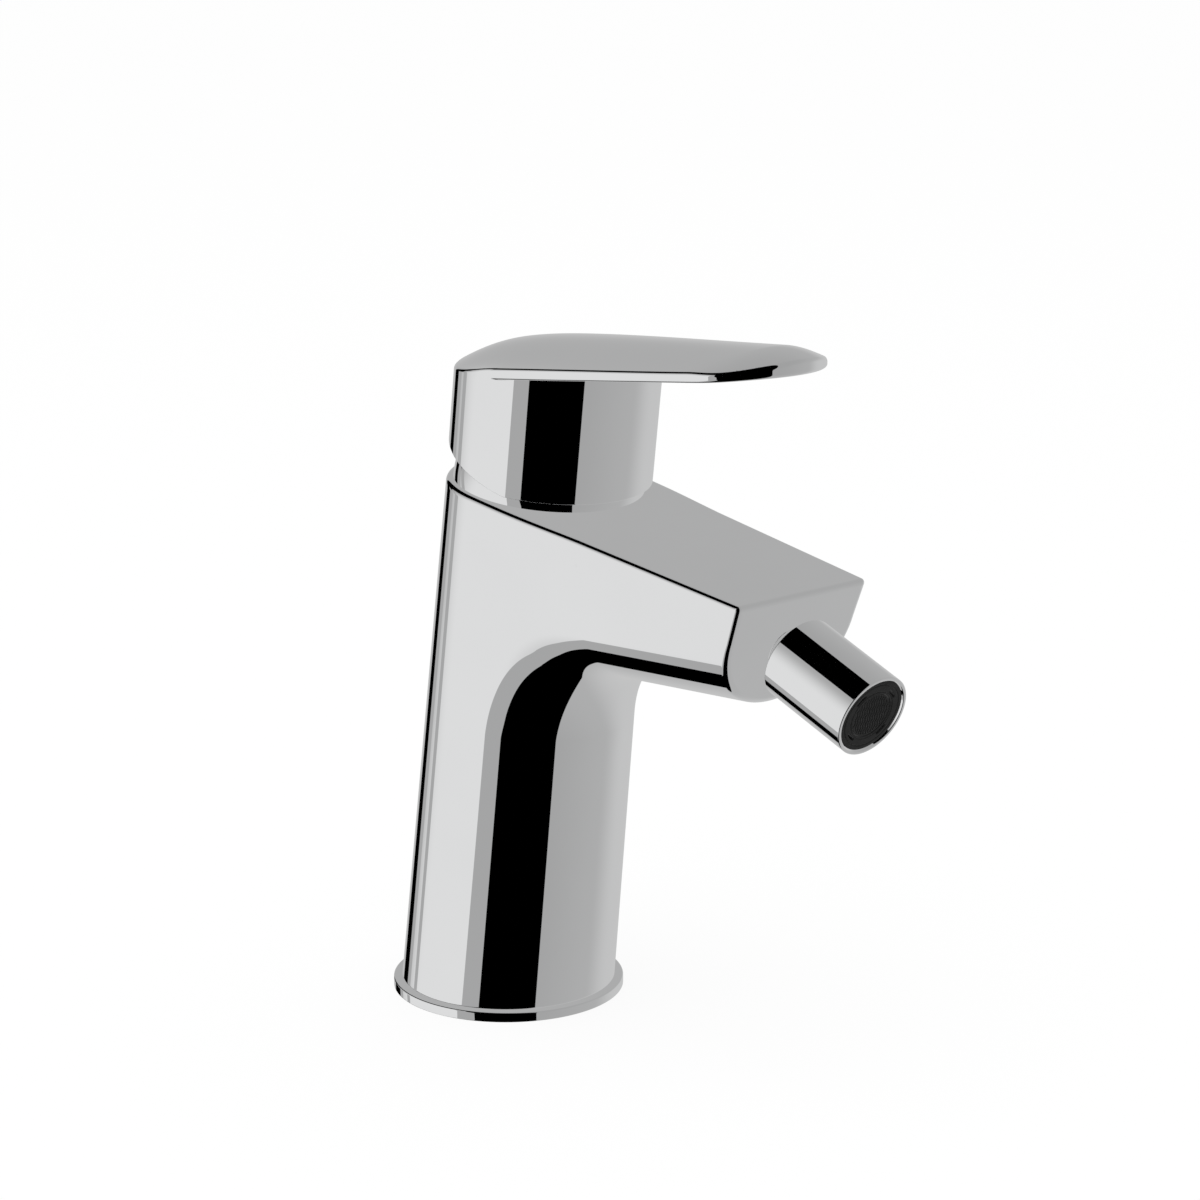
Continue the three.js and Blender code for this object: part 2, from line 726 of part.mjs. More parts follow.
// Domed collar: part of a ball centred in the column's top plane, with a lid round the carrier's neck
function makeCollar() {
  const base = seatGap;
  const startAngle = Math.acos(-base / domeRadius);
  const endAngle = Math.acos(-domeRise / domeRadius);
  const outer = arc(domeRadius, 0, startAngle, endAngle);
  const lidBottom = domeRise - domeLid;
  const bore = nutNeckRadius + seatGap + seatGap;
  const boreTop = nutNeckRise + seatGap;
  const neck = carrierNeckRadius + slideGap;
  const lidRadius = nutNeckRadius - domeLid;
  const lid = [[neck, domeRise], [neck, lidBottom], [lidRadius, lidBottom], [bore, boreTop]];
  const profile = [[bore, base], ...outer, ...lid];
  return turned([...profile, profile[0]], wideSides).translate(0, 0, columnHeight);
}

// Lever

// The block of air over the crowned top surface
function skyBlock() {
  const length = plateReach + crownBackReach;
  const centreLine = curveThrough(crownShares);
  const startShare = crownShares[0][0];
  const endShare = crownShares[crownShares.length - 1][0];
  const top = crownBackHeight + 2 * crownRise;
  const halfWidth = plateHalfWidth + cutOverrun;
  const rows = [];
  for (let i = 0; i <= crownStations; i += 1) {
    const share = startShare + (endShare - startShare) * (i / crownStations);
    const x = share * length - crownBackReach;
    const centre = crownBackHeight + crownRise * centreLine(share);
    const row = [];
    for (let j = 0; j <= crownStrips; j += 1) {
      const y = halfWidth * ((2 * j) / crownStrips - 1);
      const drop = crownDrop * Math.sin((Math.PI / 2) * (y / crownHalfWidth)) ** 2;
      row.push(new THREE.Vector3(x, y, centre - drop));
    }
    row.push(new THREE.Vector3(x, halfWidth, top), new THREE.Vector3(x, -halfWidth, top));
    rows.push(row);
  }
  return solid(loft(rows.reverse()));
}

function plateBlank() {
  const length = plateReach - plateRearReach;
  const edge = outlineShares.map(([along, width]) =>
    [plateRearReach + along * length, width * plateHalfWidth]);
  const side = [[plateRearReach, hubRadius], ...edge];
  const right = side.map(([x, y]) => new THREE.Vector2(x, -y));
  const left = side.map(([x, y]) => new THREE.Vector2(x, y)).reverse();
  const curve = new THREE.SplineCurve([...right, new THREE.Vector2(plateReach, 0), ...left]);
  const shape = new THREE.Shape(curve.getPoints(outlineSteps));
  const bottom = plateUnderRear;
  const top = crownBackHeight + 2 * crownRise;
  const blank = new THREE.ExtrudeGeometry(shape, { depth: top - bottom, bevelEnabled: false });
  blank.translate(0, 0, bottom);
  const reach = plateReach + cutOverrun;
  const under = slab([
    [plateRearReach, bottom], [plateRearReach, bottom - crownRise], [reach, bottom - crownRise],
    [reach, bottom + plateUnderSlope * (reach - plateRearReach)],
  ], plateHalfWidth + cutOverrun);
  return solid(blank).subtract(solid(under));
}

function hubCuts() {
  const inner = hubRadius - hubWall;
  const reach = 2 * hubRadius;
  const back = slab([
    [hubBackCutStart, hubBottom], [-reach, hubBottom + hubBackCutSlope * (hubBackCutStart + reach)],
    [-reach, columnHeight - reach], [hubBackCutStart, columnHeight - reach],
  ], reach);
  return { cavity: rod(inner, hubBottom - cutOverrun, hubRoof, wideSides), back };
}

function makeLever() {
  const hubBlank = rod(hubRadius, hubBottom, hubRoof + 2 * crownRise, wideSides);
  const { cavity, back } = hubCuts();
  const bossBottom = hubRoof - bossDrop;
  const boss = rod(bossRadius, bossBottom, hubRoof + cutOverrun, narrowSides);
  const rib = box(
    [-hubRadius + hubWall / 2, -ribHalfWidth, hubRoof - ribDrop],
    [0, ribHalfWidth, hubRoof + cutOverrun],
  );
  const socketHalf = stemSquareHalf + seatGap;
  const socket = box(
    [-socketHalf, -socketHalf, bossBottom - cutOverrun],
    [socketHalf, socketHalf, stemTop + seatGap],
  );
  const grubHole = rod(grubRadius + seatGap, 0, hubRadius + cutOverrun, pinSides);
  const plugSeat = plugInnerEnd() - seatGap;
  const plugHole = rod(plugRadius + seatGap, plugSeat, hubRadius + cutOverrun, narrowSides);
  const inColumn = (geometry) => solid(placed(geometry, columnFrame));
  const shell = inColumn(hubBlank).subtract(inColumn(cavity)).subtract(inColumn(back));
  const filled = [boss, rib].reduce((shape, piece) => shape.add(inColumn(piece)), shell.add(plateBlank()));
  const holes = [socket, backward(grubHole), backward(plugHole)].map(inColumn);
  return geometryOf(cutAll(filled.subtract(skyBlock()), holes));
}

// Turns a rod along Z to run backwards from the column's axis at the grub screw's height
function backward(geometry) {
  return geometry.rotateY(-Math.PI / 2).translate(0, 0, grubHeight);
}

function plugInnerEnd() {
  return hubRadius + plugProud - plugLength;
}

function makeGrubScrew() {
  const start = stemSquareHalf + seatGap;
  const end = start + grubLength;
  const screw = solid(rod(grubRadius, start, end, pinSides));
  const key = rod(grubKeyRadius, end - grubKeyDepth, end + cutOverrun, keySides);
  return backward(geometryOf(screw.subtract(solid(key))));
}

function makeIndicatorPlug() {
  const inner = plugInnerEnd();
  const outer = inner + plugLength;
  const profile = [
    [0, inner], [plugRadius, inner], [plugRadius, outer - plugProud],
    [plugRadius - plugProud, outer], [0, outer],
  ];
  return backward(turned(profile, narrowSides));
}

// Nozzle, in the nozzle frame

function makeBallStud() {
  const rear = -studLength;
  const neckAngle = Math.asin(studNeckRadius / ballRadius);
  const flatAngle = Math.acos(-ballFlat / ballRadius);
  const ballArc = arc(ballRadius, ballCentre, neckAngle, flatAngle);
  const front = ballCentre + ballFlat;
  const profile = [
    [studBoreRadius, rear], [studRadius, rear], [studRadius, 0], [studNeckRadius, 0],
    ...ballArc, [studBoreRadius, front],
  ];
  return turned([...profile, profile[0]], narrowSides);
}

function makeStudWasher() {
  const front = -studLength - seatGap;
  return ring(studBoreRadius, studRadius, front - washerThickness, front, narrowSides);
}

function linerRadii() {
  const inner = ballRadius + seatGap;
  return { inner, outer: inner + linerThickness };
}

function makeBallLiner() {
  const { inner, outer } = linerRadii();
  const outside = arc(outer, ballCentre, linerRearAngle, linerFrontAngle);
  const inside = arc(inner, ballCentre, linerFrontAngle, linerRearAngle);
  return turned([...outside, ...inside, outside[0]], middleSides);
}

function socketRadius() {
  return linerRadii().outer + seatGap;
}

function aeratorSeat() {
  return socketNutEnd() + seatGap;
}

function socketNutEnd() {
  return ballCentre + seatGap + socketNutLength;
}

function makeSleeve() {
  const socket = socketRadius();
  const mouthAngle = Math.asin(sleeveMouthRadius / socket);
  const aeratorBore = sleeveRadius - sleeveLip;
  const inside = arc(socket, ballCentre, Math.PI / 2, mouthAngle);
  const profile = [
    [sleeveMouthRadius, sleeveStart], [sleeveRadius - sleeveEdge, sleeveStart],
    [sleeveRadius, sleeveStart + sleeveEdge], [sleeveRadius, sleeveEnd - sleeveEdge],
    [sleeveRadius - sleeveEdge, sleeveEnd], [aeratorBore, sleeveEnd], [aeratorBore, aeratorSeat()],
    [socket, aeratorSeat()], ...inside,
  ];
  return turned([...profile, profile[0]], middleSides);
}

function makeSocketNut() {
  const inner = linerRadii().inner;
  const start = ballCentre + seatGap;
  const startAngle = Math.acos(-seatGap / inner);
  const endAngle = Math.PI - Math.asin(socketNutBoreRadius / inner);
  const hollow = arc(inner, ballCentre, startAngle, endAngle).reverse();
  const radius = socketRadius() - seatGap;
  const profile = [
    [radius, start], [radius, socketNutEnd()], [socketNutBoreRadius, socketNutEnd()], ...hollow,
  ];
  const nut = solid(turned([...profile, profile[0]], middleSides));
  const { radius: sealRadius, height } = ballSealPlace();
  return geometryOf(nut.subtract(solid(torus(sealRadius, ballSealSection + seatGap, height, middleSides))));
}

function ballSealPlace() {
  const reach = ballRadius + seatGap + ballSealSection;
  return { radius: reach * Math.sin(ballSealAngle), height: ballCentre + reach * Math.cos(ballSealAngle) };
}

function makeBallSeal() {
  const { radius, height } = ballSealPlace();
  return torus(radius, ballSealSection, height, middleSides);
}

function aeratorRadius() {
  return sleeveRadius - sleeveLip - seatGap;
}

function aeratorStart() {
  return aeratorSeat() + seatGap + aeratorWasherThickness + seatGap;
}

function makeAeratorWasher() {
  const start = aeratorSeat() + seatGap;
  return ring(aeratorWasherBoreRadius, aeratorRadius(), start, start + aeratorWasherThickness, middleSides);
}

function aeratorEnd() {
  return sleeveEnd - aeratorRecess;
}

function makeAeratorHousing() {
  const radius = aeratorRadius();
  const inner = radius - aeratorWall;
  const faceRear = aeratorEnd() - aeratorFace;
  const profile = [
    [inner, aeratorStart()], [radius, aeratorStart()], [radius, aeratorEnd()],
    [aeratorWindowRadius, aeratorEnd()], [aeratorWindowRadius, faceRear], [inner, faceRear],
  ];
  const cup = solid(turned([...profile, profile[0]], middleSides));
  const middle = (aeratorWindowRadius + inner) / 2;
  const slots = [];
  for (let i = 0; i < ventSlotCount; i += 1) {
    const slot = box(
      [-ventSlotHalfLength, middle - ventSlotHalfWidth, faceRear - cutOverrun],
      [ventSlotHalfLength, middle + ventSlotHalfWidth, aeratorEnd() + cutOverrun],
    );
    slots.push(solid(slot.rotateZ((2 * Math.PI * (i + 0.5)) / ventSlotCount)));
  }
  return geometryOf(cutAll(cup, slots));
}

function makeFlowDisc() {
  const rear = aeratorStart() + aeratorWall;
  const radius = aeratorRadius() - aeratorWall - seatGap;
  const disc = solid(rod(radius, rear, rear + flowDiscThickness, middleSides));
  const holes = [];
  for (let i = 0; i < flowHoleCount; i += 1) {
    const hole = rod(flowHoleRadius, rear - cutOverrun, rear + flowDiscThickness + cutOverrun, sealSides);
    holes.push(solid(hole.translate(flowHoleRing, 0, 0).rotateZ((2 * Math.PI * i) / flowHoleCount)));
  }
  return geometryOf(cutAll(disc, holes));
}

function makeScreen() {
  const front = aeratorEnd() - aeratorWall / 2;
  const rear = front - screenThickness;
  const radius = aeratorWindowRadius - seatGap;
  const disc = solid(rod(radius, rear, front, narrowSides));
  const pitch = (2 * radius) / (screenSlotCount + 1);
  const slots = [];
  for (let i = 1; i <= screenSlotCount; i += 1) {
    const y = i * pitch - radius;
    const reach = Math.sqrt(radius ** 2 - y ** 2) - aeratorWall;
    const slot = box(
      [-reach, y - screenSlotHalfWidth, rear - cutOverrun],
      [reach, y + screenSlotHalfWidth, front + cutOverrun],
    );
    slots.push(solid(slot));
  }
  return geometryOf(cutAll(disc, slots));
}

// Materials

function finish(color, roughness, metalness) {
  return () => new THREE.MeshStandardMaterial({ color, roughness, metalness });
}

const chrome = finish('#dfe1e2', 0.06, 1);
const brass = finish('#b58f4c', 0.35, 1);
const steel = finish('#b9bcbf', 0.3, 1);
const ceramic = finish('#eeece6', 0.35, 0);
const whitePlastic = finish('#e8e8e4', 0.5, 0);
const greyPlastic = finish('#8b8f92', 0.5, 0);
const darkPlastic = finish('#26272a', 0.55, 0);
const blackRubber = finish('#17181a', 0.8, 0);

function piece(name, geometry, material) {
  const mesh = new THREE.Mesh(geometry, material());
  mesh.name = name;
  return mesh;
}

function shifted(mesh, forward, side) {
  mesh.position.set(forward, side, 0);
  return mesh;
}

// Assembly

const mixer = new THREE.Group();
mixer.add(
  piece('base_ring', makeBaseRing(), chrome),
  piece('deck_gasket', makeDeckGasket(), blackRubber),
  piece('base_seal', makeBaseSeal(), blackRubber),
  piece('body_casting', makeBody(), chrome),
  piece('lever', makeLever(), chrome),
);

const column = new THREE.Group();
column.position.z = ringThickness;
column.rotation.y = lean;
column.add(
  piece('cartridge_baseplate', makeBaseplate(), whitePlastic),
  piece('fixed_disc', makeFixedDisc(), ceramic),
  shifted(piece('moving_disc', makeMovingDisc(), ceramic), -footTravel / 2, 0),
  shifted(piece('disc_carrier', makeDiscCarrier(), greyPlastic), -footTravel / 2, 0),
  piece('cartridge_housing', makeHousing(), whitePlastic),
  piece('turning_carrier', makeTurningCarrier(), greyPlastic),
  piece('pivot_pin', makePivotPin(), steel),
  piece('stem', makeStem(), brass),
  piece('cartridge_nut', makeCartridgeNut(), brass),
  piece('collar_seal', makeCollarSeal(), blackRubber),
  piece('dome_collar', makeCollar(), chrome),
  piece('grub_screw', makeGrubScrew(), steel),
  piece('indicator_plug', makeIndicatorPlug(), greyPlastic),
);
for (const { name, forward, side, bore } of sealPlaces()) {
  column.add(shifted(piece(name, makePortSeal(bore), blackRubber), forward, side));
}

const nozzle = new THREE.Group();
nozzle.position.copy(outletOrigin);
nozzle.rotation.y = nozzleTurn;
nozzle.add(
  piece('ball_stud', makeBallStud(), brass),
  piece('stud_washer', makeStudWasher(), blackRubber),
  piece('ball_liner', makeBallLiner(), whitePlastic),
  piece('nozzle_sleeve', makeSleeve(), chrome),
  piece('socket_nut', makeSocketNut(), brass),
  piece('ball_seal', makeBallSeal(), blackRubber),
  piece('aerator_washer', makeAeratorWasher(), blackRubber),
  piece('aerator_housing', makeAeratorHousing(), darkPlastic),
  piece('flow_disc', makeFlowDisc(), whitePlastic),
  piece('aerator_screen', makeScreen(), darkPlastic),
);
mixer.add(column, nozzle);

export default mixer;
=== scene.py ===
"""Bidet mixer: the looks of a leaning chrome column with its spout, lever and swivel nozzle.

Every size below is in millimetres, in the frame of the CAD part: +Z up, +X from the column
towards the spout, origin in the middle of the base ring's underside. The column frame starts on
the base ring and leans forward, the nozzle frame starts on the spout's front face. Meshes are
scaled to metres when they are made.
"""

import math

import bpy
import numpy as np
from bpy.props import FloatProperty, FloatVectorProperty, PointerProperty
from mathutils import Matrix, Vector


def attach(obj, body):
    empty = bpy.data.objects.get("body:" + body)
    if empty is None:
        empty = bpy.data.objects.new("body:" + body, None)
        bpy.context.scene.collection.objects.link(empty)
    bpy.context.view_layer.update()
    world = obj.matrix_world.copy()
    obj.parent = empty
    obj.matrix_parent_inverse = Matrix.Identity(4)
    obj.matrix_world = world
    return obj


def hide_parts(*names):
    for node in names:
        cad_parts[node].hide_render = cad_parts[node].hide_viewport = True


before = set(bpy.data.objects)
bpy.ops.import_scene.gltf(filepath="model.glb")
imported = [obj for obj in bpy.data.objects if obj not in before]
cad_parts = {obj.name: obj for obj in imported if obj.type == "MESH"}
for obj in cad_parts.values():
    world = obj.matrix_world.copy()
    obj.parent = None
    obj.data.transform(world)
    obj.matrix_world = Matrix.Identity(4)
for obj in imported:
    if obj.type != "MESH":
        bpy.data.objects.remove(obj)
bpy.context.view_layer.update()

bl_info = {
    "name": "Bidet mixer",
    "version": (1, 0, 0),
    "blender": (4, 5, 0),
    "location": "View3D > Sidebar > Mixer",
    "description": "Builds the visual pieces of a bidet mixer around its CAD part",
    "category": "Object",
}

MM = 0.001

# Base ring
RING_RADIUS = 26.0
RING_TOP = 2.158
RING_LIP = (17.2, 19.0)  # inner and outer radius
RING_LIP_RISE = 2.6
GASKET_GROOVE = (20.3, 23.9, 1.3)  # inner and outer radius, depth

# Column, given along its own axis
LEAN = math.radians(7.218)
COLUMN_BASE = 23.98
COLUMN_TAPER = 0.015168
COLUMN_TOP = 117.35
BODY_LIFT = 0.06
FOOT_EDGE = 0.3
RECESS = (19.8, 40.0)  # radius, top
PORT = (4.6, 53.0, 4.0, 9.6)  # radius, top, forward, sideways
STUD_HOLE = (3.4, 56.0, -4.5)  # radius, top, forward
CHAMBER = (17.8, 92.3)  # radius, floor
THREAD_BORE = (19.0, 113.0)  # radius, floor
CUT_EDGE = 0.4
CUT_OVERLAP = 2.0

# Spout
TOP_SLOPE = math.tan(LEAN)
TOP_AT_ORIGIN = RING_TOP + COLUMN_TOP / math.cos(LEAN)
SPOUT_REACH = 93.4
FACE_TILT = math.radians(20)
SPOUT_WIDTH = (22.756, 0.049)  # half-width over the origin, loss per millimetre
SPOUT_BELLY = 15.84
FLANK_LEAN = (0.07, 0.001)  # at the front face, loss per millimetre behind it
FLANK_REACH = 60
UNDERSIDE = (56.0, 82.3, 0.0655)  # a place on its line, slope
OUTLET_DROP = 13.4
OUTLET_BORE = (5.06, 13.2)  # radius, depth
OUTLET_EDGE = 0.04

# Collar and cartridge nut, above the column's top
DOME_RADIUS = 20.73
DOME_RISE = 7.5
DOME_LIFT = 0.06
DOME_LID = 1.2
DOME_ROOM = 0.6
DOME_RIM = (0.8, 0.4)  # degrees left for the rounded rim, its width
NUT_NECK = (18.0, 4.1)  # radius, top
CARRIER_NECK = 9.5

# Lever, heights of the hub along the column's axis
HUB_RADIUS = 22.26
HUB_WALL = 1.2
HUB_EDGE = 0.12
HUB_BOTTOM = COLUMN_TOP + 2.25
HUB_ROOF = 137.51
HUB_BACK_CUT = (8.5, 0.265)  # where it starts, slope
LEVER_BOSS = (8.0, 6.5)  # radius, depth under the roof
LEVER_RIB = (4.2, 4.9)  # half-width, depth under the roof
ROOF_OVERLAP = 1.0
INNER_FILLET = 0.4
STEM_SOCKET = (4.3, 142.81)  # half-width, top
GRUB_BORE = (2.3, 135.01)  # radius, height
PLUG_BORE = (3.3, 19.26)  # radius, distance of the floor from the axis
BORE_EDGE = 0.3
PLUG = (3.0, 19.56, 22.56)  # radius, inner and outer end
PLUG_DIMPLE = (1.1, 0.9, 0.25)  # radius at the top and at the bottom, depth
PLATE_START = 18.3
PLATE_REACH = 92.5
PLATE_OVERRUN = 4
PLATE_UNDER = (144.35, 0.1175)  # height at the plate's start, slope
# Half-width of the plate at places along it
PLATE_WIDTHS = (
    (18.3, 22.26), (36.0, 21.2), (52.0, 19.6), (62.0, 18.55), (70.0, 17.7), (77.0, 16.9),
    (84.0, 14.5),
)
PLATE_TIP = 24.5
PLATE_FILLET = 0.15
PLATE_TUCK = (0.4, 6)  # how far the plate draws back inside the hub, over what length
LEAST_STEEP = 12
# Height of the crown's middle line at places along it
CROWN_LINE = (
    (-10.0, 142.0), (0.0, 147.3), (10.0, 150.05), (25.0, 152.2), (50.0, 154.7), (75.0, 156.9),
    (92.5, 158.5),
)
CROWN_HALF_WIDTH = 25.0
CROWN_BACK = (0.65, 16)  # drop of its corners over the hub's back, over what length
# How far the tip's rim rolls over, how wide it is, and where the roll starts and is whole
TIP_ROLL = (2.7, 12.0, 76.0, 96.0)

# Nozzle, along the outlet's axis
SLEEVE_RADIUS = 9.0
SLEEVE = (3.2, 25.8)  # start, end
SLEEVE_LIP = 0.8
SLEEVE_MOUTH = 5.7
SOCKET_RADIUS = 7.6
BALL = (6.2, 9.5, 5.2)  # radius, centre, distance of its flat
STUD = (5.0, 11.0, 3.4, 2.2)  # radius, length, radius of the neck and of the bore
AERATOR_SEAT = 15.8
INSERT = (8.1, 17.6, 25.4)  # radius, start, end
INSERT_WALL = 1
INSERT_WINDOW = 5.0
INSERT_FACE = 1.8
INSERT_SLOT = (1.1, 0.3)  # half-length, half-width
INSERT_CIRCLES = (7.1, 5.45, 0.16)  # two radii, depth
SCREEN = (4.9, 23.8, 25.2)  # radius, rear, front
SCREEN_WAVE = (0.12, 1.7)  # depth and length of the ribs' waves
SCREEN_GROOVE = 0.28  # as a share of the pitch
SCREEN_RIM = 0.35

# Meshes
LEVER_ROOF = 158.2  # a height over the whole lever
FINE_CELL = 0.8  # on the lever and the screen, as a share of the plain spacing
SLICE = 16
SETTLE_ROUNDS = 4
SETTLE_STEP = 0.3
BEND_LIMIT = math.cos(math.radians(10))
SHARP_ANGLE = math.radians(32)
ROUNDING_STEPS = 5
ARC_STEPS = 24

COLUMN_FRAME = Matrix.Translation((0, 0, RING_TOP)) @ Matrix.Rotation(LEAN, 4, "Y")
FACE_TOP = (SPOUT_REACH, TOP_AT_ORIGIN - TOP_SLOPE * SPOUT_REACH)
OUTLET = (
    FACE_TOP[0] - OUTLET_DROP * math.sin(FACE_TILT),
    FACE_TOP[1] - OUTLET_DROP * math.cos(FACE_TILT),
)
NOZZLE_FRAME = (
    Matrix.Translation((OUTLET[0], 0, OUTLET[1])) @ Matrix.Rotation(math.pi / 2 + FACE_TILT, 4, "Y")
)


# ---- Settings ----


def length_setting(name, default, description, **limits):
    return FloatProperty(
        name=name, description=description, default=default, subtype="DISTANCE", unit="LENGTH",
        **limits)


def colour_setting(name, default, description):
    return FloatVectorProperty(
        name=name, description=description, default=default, subtype="COLOR")


class MixerSizes(bpy.types.PropertyGroup):
    """Sizes of the visual pieces."""

    detail: length_setting(
        "Detail", 0.0005, "Spacing of the points on the cast pieces", min=0.0003, max=0.002)
    arch_radius: length_setting(
        "Arch radius", 0.019, "Radius of the arch from the column into the spout's underside")
    body_edge: length_setting("Body edge", 0.0012, "Rounding of the body's upper edges")
    lever_edge: length_setting("Lever edge", 0.0006, "Rounding of the lever's edges")
    crown_drop: length_setting(
        "Crown drop", 0.0048, "Fall of the lever's top from its middle line to its sides")
    screen_pitch: length_setting(
        "Screen pitch", 0.00068, "Distance between the ribs of the aerator's screen")


class MixerFinishes(bpy.types.PropertyGroup):
    """Colours and finishes."""

    chrome: colour_setting("Chrome", (0.96, 0.965, 0.97), "Colour of the chrome plating")
    chrome_roughness: FloatProperty(
        name="Chrome roughness", description="Roughness of the polished chrome", default=0.012,
        subtype="FACTOR")
    brass: colour_setting("Brass", (0.58, 0.38, 0.14), "Colour of the turned brass")
    steel: colour_setting("Steel", (0.52, 0.53, 0.54), "Colour of the stainless steel")
    ceramic: colour_setting("Ceramic", (0.82, 0.8, 0.75), "Colour of the ceramic discs")
    white_plastic: colour_setting(
        "White plastic", (0.76, 0.76, 0.72), "Colour of the cartridge's shell")
    grey_plastic: colour_setting(
        "Grey plastic", (0.25, 0.27, 0.28), "Colour of the carriers and the plug")
    dark_plastic: colour_setting(
        "Dark plastic", (0.016, 0.016, 0.016), "Colour of the aerator's insert")
    black_rubber: colour_setting("Rubber", (0.01, 0.01, 0.011), "Colour of the seals")


class MixerStage(bpy.types.PropertyGroup):
    """Floor, light and camera."""

    floor: colour_setting("Floor", (0.95, 0.95, 0.95), "Colour of the floor")
    daylight: FloatProperty(
        name="Light", description="Strength of the light from all round", default=0.93)
    lamp: FloatProperty(
        name="Lamp", description="Power of the soft lamp overhead", default=6.0, unit="POWER")
    lens: FloatProperty(
        name="Lens", description="Focal length of the camera in millimetres", default=106.73)


def sizes():
    return bpy.context.scene.mixer_sizes


def finishes():
    return bpy.context.scene.mixer_finishes


# ---- Fields: distance from a surface, negative inside ----


def overlap(a, b, edge):
    """What lies in both, with the edge between them rounded."""
    corner = np.hypot(np.maximum(edge + a, 0), np.maximum(edge + b, 0))
    return np.minimum(-edge, np.maximum(a, b)) + corner


def joined(a, b, fillet):
    """What lies in either, with a fillet between them."""
    corner = np.hypot(np.maximum(fillet - a, 0), np.maximum(fillet - b, 0))
    return np.maximum(fillet, np.minimum(a, b)) - corner


def without(a, b, edge):
    """What lies in the first but not in the second, with the edge of the cut rounded."""
    return overlap(a, -b, edge)


def ease(share):
    """Rises softly from 0 to 1 while the share does."""
    t = np.clip(share, 0, 1)
    return t * t * (3 - 2 * t)


def in_column(x, z):
    """Forward of the column's axis, and up along it."""
    rise = z - RING_TOP
    return x * math.cos(LEAN) - rise * math.sin(LEAN), x * math.sin(LEAN) + rise * math.cos(LEAN)


def in_nozzle(x, z):
    """Up across the outlet's axis, and out along it."""
    dx, dz = x - OUTLET[0], z - OUTLET[1]
    cos, sin = math.cos(FACE_TILT), math.sin(FACE_TILT)
    return dx * sin + dz * cos, dx * cos - dz * sin


def arch(radius):
    """Middle of the arch under the spout, the directions of the column's front line and of the
    underside, and the directions away from them."""
    front_lean = LEAN - math.atan(COLUMN_TAPER)
    reach = COLUMN_BASE - COLUMN_TAPER * COLUMN_TOP / 2
    middle = COLUMN_TOP / 2
    on_front = np.array([
        middle * math.sin(LEAN) + reach * math.cos(LEAN),
        RING_TOP + middle * math.cos(LEAN) - reach * math.sin(LEAN),
    ])
    up = np.array([math.sin(front_lean), math.cos(front_lean)])
    along = np.array([1, UNDERSIDE[2]]) / math.hypot(1, UNDERSIDE[2])
    sides = np.array([[up[1], -up[0]], [along[1], -along[0]]])
    levels = [sides[0] @ on_front + radius, sides[1] @ np.array(UNDERSIDE[:2]) + radius]
    return np.linalg.solve(sides, levels), up, along, sides


def outer_body(x, y, z, radius):
    """Column and spout as one flowing form, with the column's front bending over the arch into
    the spout."""
    pivot, up, along, sides = arch(radius)
    forward, height = in_column(x, z)
    column_radius = COLUMN_BASE - COLUMN_TAPER * height
    px, pz = x - pivot[0], z - pivot[1]
    climb = px * up[0] + pz * up[1]
    run = px * along[0] + pz * along[1]
    behind = -(px * sides[0][0] + pz * sides[0][1])
    above = -(px * sides[1][0] + pz * sides[1][1])
    depth = np.where(climb < 0, behind, np.where(run > 0, above, np.hypot(px, pz))) - radius
    bend = math.pi / 2 - math.atan2(up[0], up[1]) - math.atan2(along[1], along[0])
    axis_reach = COLUMN_TOP * math.sin(LEAN)
    share = ease(np.arctan2(climb, behind) / bend) * ease(forward / (pivot[0] - axis_reach))
    share = np.where(run > 0, 1.0, share)
    half_width = SPOUT_WIDTH[0] - SPOUT_WIDTH[1] * x
    room = (TOP_AT_ORIGIN - TOP_SLOPE * x - z) * math.cos(LEAN)
    lean = FLANK_LEAN[0] - FLANK_LEAN[1] * np.clip(SPOUT_REACH - x, 0, FLANK_REACH)
    narrow = half_width - lean * (depth + room - SPOUT_BELLY)
    a = column_radius + (narrow - column_radius) * share
    b = column_radius + (SPOUT_BELLY - column_radius) * share
    across, down = y / a, (b - depth) / b
    reach = np.hypot(across, down)
    belly = (reach - 1) * reach / np.maximum(np.hypot(across / a, down / b), 1e-6)
    flank = np.abs(y) - (a + lean * share * (depth - b))
    spout = np.where(depth < b, belly, flank)
    return np.where((forward < 0) | (climb < 0), np.hypot(forward, y) - column_radius, spout)


def body_field(x, y, z):
    """The cast body with everything that is cut out of it."""
    edge = sizes().body_edge / MM
    form = outer_body(x, y, z, sizes().arch_radius / MM)
    face = (x - FACE_TOP[0]) * math.cos(FACE_TILT) - (z - FACE_TOP[1]) * math.sin(FACE_TILT)
    form = overlap(form, face, edge)
    top = (z - TOP_AT_ORIGIN + TOP_SLOPE * x) * math.cos(LEAN)
    form = overlap(form, top, edge)
    form = overlap(form, RING_TOP + BODY_LIFT - z, FOOT_EDGE)
    forward, height = in_column(x, z)
    radial = np.hypot(forward, y)
    recess = np.maximum(radial - RECESS[0], z - RECESS[1])
    form = without(form, recess, CUT_EDGE)
    ports = np.maximum(np.hypot(x - PORT[2], np.abs(y) - PORT[3]) - PORT[0], z - PORT[1])
    stud = np.maximum(np.hypot(x - STUD_HOLE[2], y) - STUD_HOLE[0], z - STUD_HOLE[1])
    holes = np.maximum(np.minimum(ports, stud), RECESS[1] - CUT_OVERLAP - z)
    form = without(form, holes, CUT_EDGE)
    chamber = np.maximum(radial - CHAMBER[0], CHAMBER[1] - height)
    thread = np.maximum(radial - THREAD_BORE[0], THREAD_BORE[1] - height)
    form = without(form, np.minimum(chamber, thread), CUT_EDGE)
    lift, out = in_nozzle(x, z)
    bore = np.maximum(np.hypot(lift, y) - OUTLET_BORE[0], -OUTLET_BORE[1] - out)
    return without(form, bore, OUTLET_EDGE)


